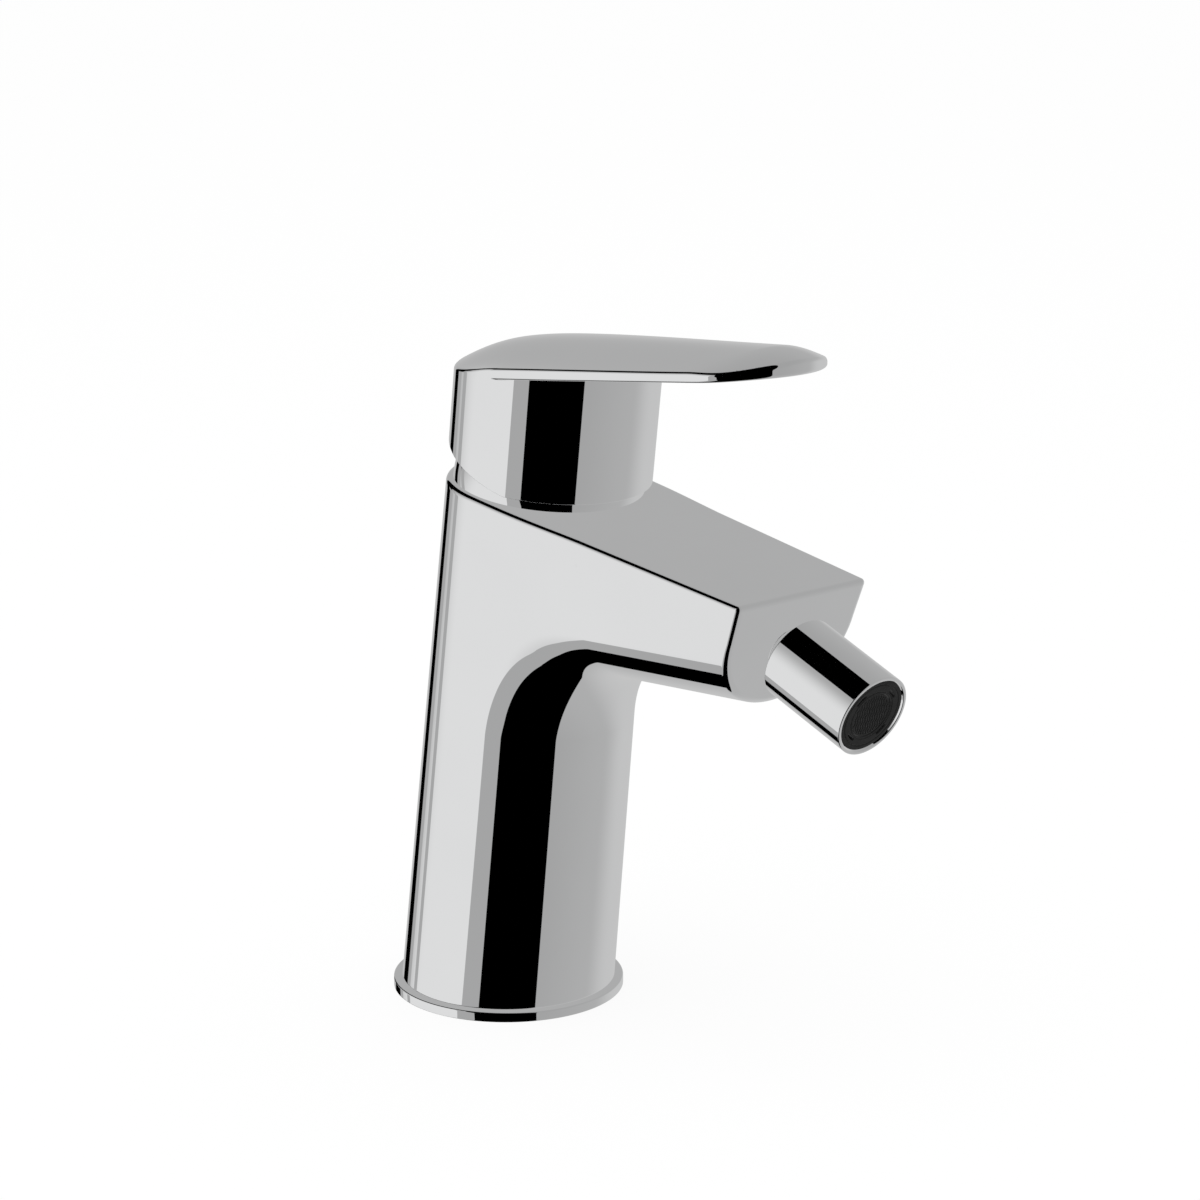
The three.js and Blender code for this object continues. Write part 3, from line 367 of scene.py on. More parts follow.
def smooth_line(points):
    """A curve with an even bend through pairs of place and height, as a function of the place."""
    x, h = np.array(points).T
    gap = np.diff(x)
    rise = np.diff(h) / gap
    grid = np.zeros((len(x), len(x)))
    right = np.zeros(len(x))
    grid[0, 0] = grid[-1, -1] = 1
    for i in range(1, len(x) - 1):
        grid[i, i - 1:i + 2] = gap[i - 1], 2 * (gap[i - 1] + gap[i]), gap[i]
        right[i] = 6 * (rise[i] - rise[i - 1])
    bend = np.linalg.solve(grid, right)

    def height(at):
        i = np.clip(np.searchsorted(x, at) - 1, 0, len(x) - 2)
        t = at - x[i]
        slope = rise[i] - gap[i] * (2 * bend[i] + bend[i + 1]) / 6
        change = t * (bend[i + 1] - bend[i]) / (6 * gap[i])
        return h[i] + t * (slope + t * (bend[i] / 2 + change))

    return height


CROWN = smooth_line(CROWN_LINE)
# The half-width squared, divided by the way that is left to the tip
PLATE_FULLNESS = smooth_line(
    [(x, w * w / (PLATE_REACH - x)) for x, w in PLATE_WIDTHS] + [(PLATE_REACH, PLATE_TIP)]
)


def plate_side(x, y):
    """Distance from the plate's outline, seen from above."""
    along = np.clip(x, PLATE_START, PLATE_REACH + PLATE_OVERRUN)
    room = PLATE_REACH - along
    value = y * y - PLATE_FULLNESS(along) * room
    step = 0.05
    ahead = y * y - PLATE_FULLNESS(along + step) * (room - step)
    steep = np.hypot(2 * y, (ahead - value) / step)
    tuck = PLATE_TUCK[0] * ease((PLATE_START - x) / PLATE_TUCK[1])
    inside_hub = np.hypot(x - PLATE_START, y) - HUB_RADIUS + tuck
    return np.where(x < PLATE_START, inside_hub, value / np.maximum(steep, LEAST_STEEP))


def crown_top(x, y, drop):
    """Height of the lever's top."""
    back = CROWN_BACK[0] * (y / HUB_RADIUS) ** 6 * ease((HUB_RADIUS - x) / CROWN_BACK[1])
    deep, rim, start, whole = TIP_ROLL
    near_rim = np.maximum(1 + plate_side(x, y) / rim, 0)
    roll = deep * ease((x - start) / (whole - start)) * near_rim ** 2
    return CROWN(x) - drop * np.sin(math.pi / 2 * y / CROWN_HALF_WIDTH) ** 2 - back - roll


def lever_field(x, y, z):
    """The cast lever: hub and crowned plate, with the boss, its rib and the bores inside."""
    edge = sizes().lever_edge / MM
    drop = sizes().crown_drop / MM
    forward, height = in_column(x, z)
    radial = np.hypot(forward, y)
    cut_start, cut_slope = HUB_BACK_CUT
    back = HUB_BOTTOM + cut_slope * (cut_start - forward) - height
    hub = overlap(radial - HUB_RADIUS, HUB_BOTTOM - height, HUB_EDGE)
    hub = overlap(hub, back / math.hypot(1, cut_slope), HUB_EDGE)
    cavity = np.maximum(radial - HUB_RADIUS + HUB_WALL, height - HUB_ROOF)
    hub = without(hub, cavity, HUB_EDGE)
    under_start, under_slope = PLATE_UNDER
    under = under_start + under_slope * (x - PLATE_START) - z
    plate = overlap(plate_side(x, y), under / math.hypot(1, under_slope), edge)
    form = joined(hub, plate, PLATE_FILLET)
    top = crown_top(x, y, drop)
    step = 0.1
    slope_x = (crown_top(x + step, y, drop) - top) / step
    slope_y = (crown_top(x, y + step, drop) - top) / step
    form = overlap(form, (z - top) / np.sqrt(1 + slope_x ** 2 + slope_y ** 2), edge)
    boss = np.maximum(radial - LEVER_BOSS[0], HUB_ROOF - LEVER_BOSS[1] - height)
    rib = np.maximum(np.maximum(np.abs(y) - LEVER_RIB[0], HUB_ROOF - LEVER_RIB[1] - height),
                     np.maximum(forward, -forward - HUB_RADIUS + HUB_WALL / 2))
    inner = np.maximum(np.minimum(boss, rib), height - HUB_ROOF - ROOF_OVERLAP)
    form = joined(form, inner, INNER_FILLET)
    square = np.maximum(np.abs(forward), np.abs(y)) - STEM_SOCKET[0]
    socket = np.maximum(square, height - STEM_SOCKET[1])
    from_grub = np.hypot(y, height - GRUB_BORE[1])
    grub = np.maximum(from_grub - GRUB_BORE[0], forward)
    plug = np.maximum(from_grub - PLUG_BORE[0], forward + PLUG_BORE[1])
    return without(form, np.minimum(np.minimum(socket, grub), plug), BORE_EDGE)


def insert_field(x, y, z):
    """The aerator's housing in the nozzle frame: a cup with fine circles and four slots in its
    face."""
    radius, start, end = INSERT
    radial = np.hypot(x, y)
    cup = overlap(radial - radius, np.maximum(start - z, z - end), 0.2)
    hollow = np.maximum(radial - radius + INSERT_WALL, z - end + INSERT_FACE)
    window = radial - INSERT_WINDOW
    cup = without(cup, np.minimum(hollow, window), 0.15)
    middle = (INSERT_WINDOW + radius - INSERT_WALL) / 2
    turn = np.arctan2(np.abs(y), np.abs(x)) - math.pi / 4
    length, width = INSERT_SLOT
    slot = np.hypot(np.maximum(np.abs(turn) * middle - length, 0), radial - middle) - width
    wide, narrow, depth = INSERT_CIRCLES
    from_circle = np.minimum(np.abs(radial - wide), np.abs(radial - narrow))
    circle = np.hypot(from_circle, z - end) - depth
    return without(without(cup, slot, 0.1), circle, 0.05)


def screen_field(x, y, z):
    """The aerator's screen: a disc with fine wavy ribs inside a raised rim."""
    radius, rear, front = SCREEN
    pitch = sizes().screen_pitch / MM
    radial = np.hypot(x, y)
    disc = overlap(radial - radius, np.maximum(rear - z, z - front), 0.12)
    across = y + SCREEN_WAVE[0] * np.sin(2 * math.pi * x / SCREEN_WAVE[1])
    from_rib = across - pitch * np.round(across / pitch)
    groove = np.hypot(from_rib, z - front) - SCREEN_GROOVE * pitch
    groove = np.maximum(groove, np.hypot(x, across) - radius + SCREEN_RIM)
    return without(disc, groove, 0.05)


# ---- Mesh making ----


def sampled(field, low, high, cell):
    """Values of a field on an even grid, worked out slice by slice."""
    axes = [np.arange(a, b + cell, cell, dtype=np.float32) for a, b in zip(low, high)]
    values = np.empty([len(axis) for axis in axes], np.float32)
    y, z = axes[1][None, :, None], axes[2][None, None, :]
    for start in range(0, len(axes[0]), SLICE):
        x = axes[0][start:start + SLICE, None, None]
        values[start:start + SLICE] = field(*np.broadcast_arrays(x, y, z))
    return axes, values


def skin_of(field, low, high, cell):
    """Points and four-sided faces over the surface of a field: one point in each cell that the
    surface crosses."""
    axes, values = sampled(field, low, high, cell)
    inside = values < 0
    cells = [n - 1 for n in values.shape]
    count = np.zeros(cells, np.int8)
    for i, j, k in np.ndindex(2, 2, 2):
        count += inside[i:cells[0] + i, j:cells[1] + j, k:cells[2] + k]
    crossed = (count > 0) & (count < 8)
    number = np.full(cells, -1, np.int64)
    spots = np.argwhere(crossed)
    number[crossed] = np.arange(len(spots))
    total, hits = np.zeros((len(spots), 3)), np.zeros(len(spots))
    for axis, shift_a, shift_b in np.ndindex(3, 2, 2):
        start = spots.copy()
        start[:, (axis + 1) % 3] += shift_a
        start[:, (axis + 2) % 3] += shift_b
        end = start.copy()
        end[:, axis] += 1
        a, b = values[tuple(start.T)].astype(float), values[tuple(end.T)].astype(float)
        cross = (a < 0) != (b < 0)
        place = start.astype(float)
        place[:, axis] += np.where(cross, a / np.where(cross, a - b, 1), 0)
        total += place * cross[:, None]
        hits += cross
    points = total / hits[:, None] * cell + np.array([axis[0] for axis in axes])
    faces = []
    for axis in range(3):
        u, v = (axis + 1) % 3, (axis + 2) % 3
        first = np.take(inside, range(values.shape[axis] - 1), axis)
        second = np.take(inside, range(1, values.shape[axis]), axis)
        at = np.argwhere(first != second)
        at = at[(at[:, u] > 0) & (at[:, v] > 0) & (at[:, u] < cells[u]) & (at[:, v] < cells[v])]
        outward = first[tuple(at.T)]
        corners = []
        for shift_u, shift_v in ((1, 1), (0, 1), (0, 0), (1, 0)):
            spot = at.copy()
            spot[:, u] -= shift_u
            spot[:, v] -= shift_v
            corners.append(number[tuple(spot.T)])
        quads = np.stack(corners, 1)
        quads[~outward] = quads[~outward][:, ::-1]
        faces.append(quads)
    return points, np.concatenate(faces)


def slope_of(field, points, step=0.02):
    """How steeply the field rises along each axis."""
    x, y, z = points.T
    return np.stack([
        field(x + step, y, z) - field(x - step, y, z),
        field(x, y + step, z) - field(x, y - step, z),
        field(x, y, z + step) - field(x, y, z - step),
    ], 1) / (2 * step)


def settled(field, points):
    """Points moved onto the surface, with the surface's own normals."""
    for _ in range(SETTLE_ROUNDS):
        slope = slope_of(field, points)
        steep = np.maximum((slope ** 2).sum(1), SETTLE_STEP)
        step = np.clip(field(*points.T), -SETTLE_STEP, SETTLE_STEP)
        points = points - slope * (step / steep)[:, None]
    slope = slope_of(field, points)
    return points, slope / np.linalg.norm(slope, axis=1, keepdims=True)


def finer(field, points, normals, quads, others):
    """Splits the four-sided faces that bend too much in four. The faces beside them take the new
    points into their outline, so that the skin stays closed."""
    turned = normals[quads]
    even = np.minimum(
        (turned[:, 0] * turned[:, 2]).sum(1), (turned[:, 1] * turned[:, 3]).sum(1))
    bent = even < BEND_LIMIT
    split, rest = quads[bent], quads[~bent]
    edges = np.sort(np.stack([split, np.roll(split, -1, 1)], 2).reshape(-1, 2), 1)
    edges, place = np.unique(edges, axis=0, return_inverse=True)
    halfway = len(points) + place.reshape(-1, 4)
    middles = len(points) + len(edges) + np.arange(len(split))
    fresh = np.concatenate([points[edges].mean(1), points[split].mean(1)])
    fresh, fresh_normals = settled(field, fresh)
    quarters = [
        np.stack([split[:, k], halfway[:, k], middles, halfway[:, k - 1]], 1) for k in range(4)]
    halves = {(a, b): len(points) + i for i, (a, b) in enumerate(edges.tolist())}
    ends = np.zeros(len(points), bool)
    ends[edges] = True
    beside = ends[rest].sum(1) > 1
    outlines = []
    plain = []
    for face in rest[beside].tolist() + others:
        outline = []
        for a, b in zip(face, face[1:] + face[:1]):
            outline.append(a)
            half = halves.get((min(a, b), max(a, b)))
            if half is not None:
                outline.append(half)
        (plain if len(outline) == 4 else outlines).append(outline)
    quads = np.concatenate([rest[~beside], *quarters, np.array(plain, np.int64).reshape(-1, 4)])
    points = np.concatenate([points, fresh])
    return points, np.concatenate([normals, fresh_normals]), quads, outlines


def field_mesh(name, field, low, high, cell, rounds=3):
    """Mesh of a field's surface, with its bent faces split in as many rounds as are asked for."""
    points, quads = skin_of(field, low, high, cell)
    points, normals = settled(field, points)
    others = []
    for _ in range(rounds):
        points, normals, quads, others = finer(field, points, normals, quads, others)
    mesh = bpy.data.meshes.new(name)
    mesh.from_pydata(points.tolist(), [], quads.tolist() + others)
    mesh.shade_smooth()
    mesh.normals_split_custom_set_from_vertices(normals.tolist())
    return mesh


def rounded(corners):
    """A closed outline from corners of radius, height and rounding."""
    outline = []
    for i, (r, h, edge) in enumerate(corners):
        here = np.array([r, h])
        if edge == 0:
            outline.append((r, h))
            continue
        before = np.array(corners[i - 1][:2]) - here
        after = np.array(corners[(i + 1) % len(corners)][:2]) - here
        before, after = before / np.linalg.norm(before), after / np.linalg.norm(after)
        half = math.acos(np.clip(before @ after, -1, 1)) / 2
        middle = here + (before + after) / np.linalg.norm(before + after) * edge / math.sin(half)
        start, end = here + before * edge / math.tan(half), here + after * edge / math.tan(half)
        a, b = start - middle, end - middle
        sweep = math.pi - 2 * half
        for k in range(ROUNDING_STEPS + 1):
            t = k / ROUNDING_STEPS
            first = math.sin((1 - t) * sweep) / math.sin(sweep)
            second = math.sin(t * sweep) / math.sin(sweep)
            outline.append(tuple(middle + a * first + b * second))
    return outline


def arc(radius, centre, start, end):
    """Points of a circle about a centre on the axis, with the angle counted from straight down,
    in degrees."""
    angles = np.radians(np.linspace(start, end, ARC_STEPS + 1))
    return [(radius * math.sin(t), centre - radius * math.cos(t)) for t in angles]


def shaded_mesh(name, points, faces, place):
    """A mesh put in its place, smooth but for its sharp edges."""
    mesh = bpy.data.meshes.new(name)
    mesh.from_pydata(points, [], faces)
    mesh.transform(place)
    mesh.shade_smooth()
    mesh.set_sharp_from_angle(angle=SHARP_ANGLE)
    return mesh


def turned_mesh(name, outline, place, segments):
    """A closed outline of radius and height, turned about the Z axis of its frame."""
    angles = np.linspace(0, 2 * math.pi, segments, endpoint=False)
    radius, height = np.array(outline, float).T
    points = np.stack([
        np.outer(np.cos(angles), radius), np.outer(np.sin(angles), radius),
        np.tile(height, (segments, 1)),
    ], 2).reshape(-1, 3)
    count = len(outline)
    faces = []
    for i, j in np.ndindex(segments, count):
        a, b, k = i * count, (i + 1) % segments * count, (j + 1) % count
        faces.append((a + j, b + j, b + k, a + k))
    return shaded_mesh(name, points.tolist(), faces, place)


def solid_turned_mesh(name, outline, place, segments):
    """As turned_mesh, for an outline that starts and ends on the axis."""
    angles = np.linspace(0, 2 * math.pi, segments, endpoint=False)
    rim = np.array(outline[1:-1], float)
    points = [(0, 0, outline[0][1]), (0, 0, outline[-1][1])]
    for t in angles:
        points += [(r * math.cos(t), r * math.sin(t), h) for r, h in rim]
    count = len(rim)
    faces = []
    for i in range(segments):
        a, b = 2 + i * count, 2 + (i + 1) % segments * count
        faces.append((0, b, a))
        faces += [(a + j, b + j, b + j + 1, a + j + 1) for j in range(count - 1)]
        faces.append((1, a + count - 1, b + count - 1))
    return shaded_mesh(name, points, faces, place)


def show(mesh, body, slot, node):
    """Puts a mesh made in millimetres into the scene on its body, in place of its CAD node."""
    mesh.transform(Matrix.Scale(MM, 4))
    mesh.materials.append(material_of(slot))
    piece = bpy.data.objects.new(mesh.name, mesh)
    bpy.context.scene.collection.objects.link(piece)
    piece.visible_glossy = False
    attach(piece, body)
    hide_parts(node)
    return piece


def even_normals(piece):
    """Lets flat faces keep their own normal beside a rounded edge."""
    weight = piece.modifiers.new("Even normals", "WEIGHTED_NORMAL")
    weight.keep_sharp = True
    weight.weight = 100


# ---- Materials ----


# Share of a noise that is spread over its full effect
NOISE_SPREAD = (0.3, 0.7)


class Nodes:
    """A node tree that is put together step by step."""

    def __init__(self, owner):
        owner.use_nodes = True
        self.tree = owner.node_tree

    def feed(self, node, inputs):
        """Sets a node's inputs to values, or links them to sockets."""
        for key, value in inputs.items():
            if isinstance(value, bpy.types.NodeSocket):
                self.tree.links.new(value, node.inputs[key])
            else:
                node.inputs[key].default_value = value

    def node(self, kind, inputs=None, **values):
        node = self.tree.nodes.new(kind)
        for key, value in values.items():
            setattr(node, key, value)
        self.feed(node, inputs or {})
        return node

    def ranged(self, value, start, end, low, high, **values):
        """A value brought from one span to another."""
        spans = {"From Min": start, "From Max": end, "To Min": low, "To Max": high}
        node = self.node("ShaderNodeMapRange", {"Value": value, **spans}, **values)
        return node.outputs["Result"]


class Finish(Nodes):
    """The nodes of a material."""

    def __init__(self, name):
        self.material = bpy.data.materials.new(name)
        super().__init__(self.material)
        self.surface = self.tree.nodes["Principled BSDF"]
        self.place = self.node("ShaderNodeTexCoord").outputs["Object"]

    def noise(self, scale, detail, stretch=None):
        place = self.place
        if stretch:
            mapping = self.node("ShaderNodeMapping", {"Scale": stretch, "Vector": place})
            place = mapping.outputs["Vector"]
        inputs = {"Scale": scale, "Detail": detail, "Vector": place}
        return self.node("ShaderNodeTexNoise", inputs).outputs["Fac"]

    def colours(self, value, first, second):
        ramp = self.node("ShaderNodeValToRGB", {"Fac": value})
        for stop, place, tint in zip(ramp.color_ramp.elements, NOISE_SPREAD, (first, second)):
            stop.position = place
            stop.color = (*tint, 1)
        self.feed(self.surface, {"Base Color": ramp.outputs["Color"]})

    def rough(self, value, low, high):
        self.feed(self.surface, {"Roughness": self.ranged(value, *NOISE_SPREAD, low, high)})

    def bump(self, value, strength, distance):
        inputs = {"Strength": strength, "Distance": distance, "Height": value}
        self.feed(self.surface, {"Normal": self.node("ShaderNodeBump", inputs).outputs["Normal"]})


def shade(colour, share):
    return tuple(min(c * share, 1.0) for c in colour)


def chrome(name, colour):
    """Polished chrome plate: even and bright, with faint wipe marks and a hardly visible
    waviness."""
    finish = Finish(name)
    roughness = finishes().chrome_roughness
    finish.feed(finish.surface, {"Metallic": 1.0})
    finish.colours(finish.noise(45, 3), shade(colour, 0.992), shade(colour, 1.006))
    wipes = finish.noise(160, 6, stretch=(1, 1, 0.25))
    finish.rough(wipes, roughness * 0.7, roughness * 1.7)
    finish.bump(finish.noise(70, 1), 0.05, 0.00001)
    return finish.material


def turned_metal(name, colour, low, high):
    """Turned metal with fine tool lines and handling stains."""
    finish = Finish(name)
    finish.feed(finish.surface, {"Metallic": 1.0})
    finish.colours(finish.noise(220, 5), shade(colour, 0.8), shade(colour, 1.12))
    lines = finish.noise(900, 3, stretch=(0.12, 0.12, 4))
    finish.rough(lines, low, high)
    finish.bump(lines, 0.35, 0.00003)
    return finish.material


def moulded(name, colour, low, high, grain=1600, depth=0.00003, sheen=0.5):
    """Moulded plastic or rubber with a fine grain and slight clouding."""
    finish = Finish(name)
    finish.feed(finish.surface, {"Specular IOR Level": sheen})
    finish.colours(finish.noise(150, 4), shade(colour, 0.86), shade(colour, 1.12))
    finish.rough(finish.noise(320, 5), low, high)
    finish.bump(finish.noise(grain, 2), 0.4, depth)
    return finish.material


# For each slot the material's name, its maker and the maker's values
MATERIALS = {
    "chrome": ("chrome_plate", chrome),
    "brass": ("turned_brass", turned_metal, 0.22, 0.42),
    "steel": ("turned_steel", turned_metal, 0.2, 0.38),
    "ceramic": ("ground_ceramic", moulded, 0.18, 0.34, 2600, 0.00001),
    "white_plastic": ("white_moulding", moulded, 0.38, 0.55),
    "grey_plastic": ("grey_moulding", moulded, 0.35, 0.52),
    "dark_plastic": ("dark_moulding", moulded, 0.42, 0.6, 1600, 0.00003, 0.12),
    "black_rubber": ("black_rubber", moulded, 0.6, 0.85, 2200, 0.00004),
}


def material_of(slot):
    name, make, *values = MATERIALS[slot]
    return bpy.data.materials.get(name) or make(name, getattr(finishes(), slot), *values)


# ---- Operators ----


def cell_size():
    cell = sizes().detail / MM
    return cell


class MIXER_OT_base_ring(bpy.types.Operator):
    """Turn the thin ring on the deck, with its locating lip and gasket groove"""

    bl_idname = "mixer.base_ring"
    bl_label = "Base ring"

    def execute(self, context):
        inner, outer = RING_LIP
        groove_in, groove_out, groove_top = GASKET_GROOVE
        outline = rounded([
            (inner, 0, 0.15), (groove_in, 0, 0.1), (groove_in, groove_top, 0.1),
            (groove_out, groove_top, 0.1), (groove_out, 0, 0.1), (RING_RADIUS, 0, 0.15),
            (RING_RADIUS, RING_TOP, 0.3), (outer, RING_TOP, 0.2),
            (outer, RING_TOP + RING_LIP_RISE, 0.2), (inner, RING_TOP + RING_LIP_RISE, 0.2),
        ])
        mesh = turned_mesh("ring_turned", outline, Matrix.Identity(4), 256)
        even_normals(show(mesh, "mixer_body", "chrome", "base_ring"))
        return {"FINISHED"}


class MIXER_OT_body(bpy.types.Operator):
    """Cast the column and spout as one flowing body with its recess, ports, chamber and bore"""

    bl_idname = "mixer.body"
    bl_label = "Body"

    def execute(self, context):
        # Uneven room on each side keeps the grid's planes off the flat faces
        low = (-COLUMN_BASE - 1.3, -COLUMN_BASE - 1.2, RING_TOP - 1.1)
        high = (SPOUT_REACH + 1.4, COLUMN_BASE + 1.2, TOP_AT_ORIGIN + 1.7)
        mesh = field_mesh("body_cast", body_field, low, high, cell_size())
        show(mesh, "mixer_body", "chrome", "body_casting")
        return {"FINISHED"}


class MIXER_OT_collar(bpy.types.Operator):
    """Turn the domed collar over the cartridge nut"""

    bl_idname = "mixer.collar"
    bl_label = "Collar"

    def execute(self, context):
        bore = NUT_NECK[0] + DOME_ROOM
        neck = CARRIER_NECK + DOME_ROOM
        start = math.degrees(math.acos(-DOME_LIFT / DOME_RADIUS))
        end = math.degrees(math.acos(-DOME_RISE / DOME_RADIUS))
        dome = arc(DOME_RADIUS, 0, start, end - DOME_RIM[0])
        lid = DOME_RISE - DOME_LID
        inside = rounded([
            (neck, DOME_RISE, 0.3), (neck, lid, 0.2), (NUT_NECK[0] - DOME_LID, lid, 0.3),
            (bore, NUT_NECK[1] + 0.3, 0.3), (bore, DOME_LIFT, 0), (*dome[0], 0),
            (dome[-1][0] - DOME_RIM[1], DOME_RISE, 0),
        ])
        outline = [dome[-1], *inside[:-2], *dome[:-1]]
        place = COLUMN_FRAME @ Matrix.Translation((0, 0, COLUMN_TOP))
        mesh = turned_mesh("collar_turned", outline, place, 192)
        even_normals(show(mesh, "mixer_body", "chrome", "dome_collar"))
        return {"FINISHED"}


class MIXER_OT_lever(bpy.types.Operator):
    """Cast the lever: hub, crowned plate, boss with its socket, and the bores at the back"""

    bl_idname = "mixer.lever"
    bl_label = "Lever"

    def execute(self, context):
        low = (-HUB_RADIUS - 1.2, -CROWN_HALF_WIDTH - 1.4, HUB_BOTTOM - 2.2)
        high = (PLATE_REACH + 1.3, CROWN_HALF_WIDTH + 1.4, LEVER_ROOF)
        mesh = field_mesh("lever_cast", lever_field, low, high, cell_size() * FINE_CELL)
        show(mesh, "lever_unit", "chrome", "lever")
        return {"FINISHED"}


class MIXER_OT_plug(bpy.types.Operator):
    """Turn the small plug at the back of the hub"""

    bl_idname = "mixer.plug"
    bl_label = "Plug"

    def execute(self, context):
        radius, inner, outer = PLUG
        wide, narrow, depth = PLUG_DIMPLE
        outline = rounded([
            (0, inner, 0), (radius, inner, 0.15), (radius, outer, 0.35), (wide, outer, 0.15),
            (narrow, outer - depth, 0.1), (0, outer - depth, 0),
        ])
        place = COLUMN_FRAME @ Matrix.Translation((0, 0, GRUB_BORE[1]))
        place = place @ Matrix.Rotation(-math.pi / 2, 4, "Y")
        mesh = solid_turned_mesh("plug_turned", outline, place, 64)
        even_normals(show(mesh, "lever_unit", "grey_plastic", "indicator_plug"))
        return {"FINISHED"}


class MIXER_OT_nozzle(bpy.types.Operator):
    """Turn the nozzle's chrome sleeve and the ball stud that carries it"""

    bl_idname = "mixer.nozzle"
    bl_label = "Nozzle"

    def execute(self, context):
        start, end = SLEEVE
        ball_radius, centre, flat = BALL
        bore = SLEEVE_RADIUS - SLEEVE_LIP
        mouth_angle = math.degrees(math.asin(SLEEVE_MOUTH / SOCKET_RADIUS))
        socket = arc(SOCKET_RADIUS, centre, 90, mouth_angle)
        outside = rounded([
            (SLEEVE_MOUTH, start, 0.25), (SLEEVE_RADIUS, start, 0.3), (SLEEVE_RADIUS, end, 0.25),
            (bore, end, 0.25), (bore, AERATOR_SEAT, 0.1), (SOCKET_RADIUS, AERATOR_SEAT, 0.1),
            (SOCKET_RADIUS, centre, 0), (0, 0, 0),
        ])[:-2]
        mesh = turned_mesh("sleeve_turned", outside + socket, NOZZLE_FRAME, 192)
        even_normals(show(mesh, "nozzle", "chrome", "nozzle_sleeve"))
        stud_radius, stud_length, neck, stud_bore = STUD
        neck_angle = math.degrees(math.asin(neck / ball_radius))
        flat_angle = math.degrees(math.acos(-flat / ball_radius))
        stud = rounded([
            (stud_bore, -stud_length, 0.2), (stud_radius, -stud_length, 0.4),
            (stud_radius, 0, OUTLET_EDGE), (neck, 0, 0.2), (neck, centre, 0),
        ])[:-1]
        stud += arc(ball_radius, centre, neck_angle, flat_angle) + [(stud_bore, centre + flat)]
        mesh = turned_mesh("stud_turned", stud, NOZZLE_FRAME, 96)
        even_normals(show(mesh, "mixer_body", "chrome", "ball_stud"))
        return {"FINISHED"}


class MIXER_OT_aerator(bpy.types.Operator):
    """Mould the dark insert in the nozzle's mouth and its fine screen"""

    bl_idname = "mixer.aerator"
    bl_label = "Aerator"

    def execute(self, context):
        cell = 0.12
        for name, node, field, (radius, start, end), room, share in (
            ("insert_moulded", "aerator_housing", insert_field, INSERT, 0.5, 1),
            ("screen_moulded", "aerator_screen", screen_field, SCREEN, 0.4, FINE_CELL),
        ):
            low = (-radius - room, -radius - room, start - room)
            high = (radius + room, radius + room, end + room)
            mesh = field_mesh(name, field, low, high, cell * share, 0)
            mesh.transform(NOZZLE_FRAME)
            show(mesh, "nozzle", "dark_plastic", node)
        return {"FINISHED"}


class MIXER_OT_inner_parts(bpy.types.Operator):
    """Give the seals, the cartridge and the other inner parts their finishes"""

    bl_idname = "mixer.inner_parts"
    bl_label = "Inner parts"

    FINISH_OF = {
        "black_rubber": (
            "deck_gasket", "base_seal", "inlet_seal_right", "inlet_seal_left", "outlet_seal",
            "collar_seal", "stud_washer", "ball_seal", "aerator_washer",
        ),
        "white_plastic": ("cartridge_baseplate", "cartridge_housing", "ball_liner", "flow_disc"),
        "grey_plastic": ("disc_carrier", "turning_carrier"),
        "ceramic": ("fixed_disc", "moving_disc"),
        "brass": ("stem", "cartridge_nut", "socket_nut"),
        "steel": ("pivot_pin", "grub_screw"),
    }

    def execute(self, context):
        for slot, nodes in self.FINISH_OF.items():
            for node in nodes:
                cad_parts[node].visible_glossy = False
                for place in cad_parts[node].material_slots:
                    place.material = material_of(slot)
        return {"FINISHED"}


# ---- Stage ----


def grey(level):
    """Linear strength of a grey that shows as this level from 0 to 255."""
    share = level / 255
    return share / 12.92 if share < 0.04045 else ((share + 0.055) / 1.055) ** 2.4


def compass(azimuth, elevation):
    """Direction from its angles in degrees, with the azimuth counted from +X towards +Y."""
    a, e = math.radians(azimuth), math.radians(elevation)
    return Vector((math.cos(a) * math.cos(e), math.sin(a) * math.cos(e), math.sin(e)))


class Studio(Nodes):
    """The nodes of the world that the chrome mirrors: a dark room with a lit screen on one side
    of the mixer and a pale wall on the other."""

    def __init__(self, world):
        super().__init__(world)
        self.tree.nodes.clear()
        self.way = self.node("ShaderNodeTexCoord").outputs["Generated"]
        self.rise = self.node("ShaderNodeSeparateXYZ", {"Vector": self.way}).outputs["Z"]

    def math(self, operation, first, second):
        """An operation on two numbers or sockets. Only SMOOTH_MIN uses the third input."""
        inputs = {0: first, 1: second, 2: CORNER_ROUNDING}
        return self.node("ShaderNodeMath", inputs, operation=operation).outputs["Value"]

    def towards(self, direction):
        inputs = {0: self.way, 1: direction}
        return self.node("ShaderNodeVectorMath", inputs, operation="DOT_PRODUCT").outputs["Value"]

    def past(self, first, second, middle):
        """How far a direction lies past the edge through two others, on the middle's side."""
        normal = first.cross(second).normalized()
        return self.towards(normal if normal.dot(middle) > 0 else -normal)

    def pane(self, corners, middle):
        """How far a direction lies inside the pane between its corners."""
        depth = None
        for first, second in zip(corners, corners[1:] + corners[:1]):
            edge = self.past(first, second, middle)
            depth = edge if depth is None else self.math("SMOOTH_MIN", depth, edge)
        return depth

    def inside(self, panes):
        """1 in any of two panes and 0 outside them."""
        depth = self.math("MAXIMUM", *(self.pane(*pane) for pane in panes))
        return self.ramp(depth, -SHARP_EDGE, SHARP_EDGE)

    def ramp(self, value, start, end, low=0.0, high=1.0):
        return self.ranged(value, start, end, low, high, interpolation_type="SMOOTHSTEP")

    def mix(self, share, first, second):
        way = self.math("SUBTRACT", second, first)
        return self.math("ADD", first, self.math("MULTIPLY", share, way))


def below(x, y):
    """Direction towards a point of the plane one unit under the mixer."""
    return Vector((x, y, -1))


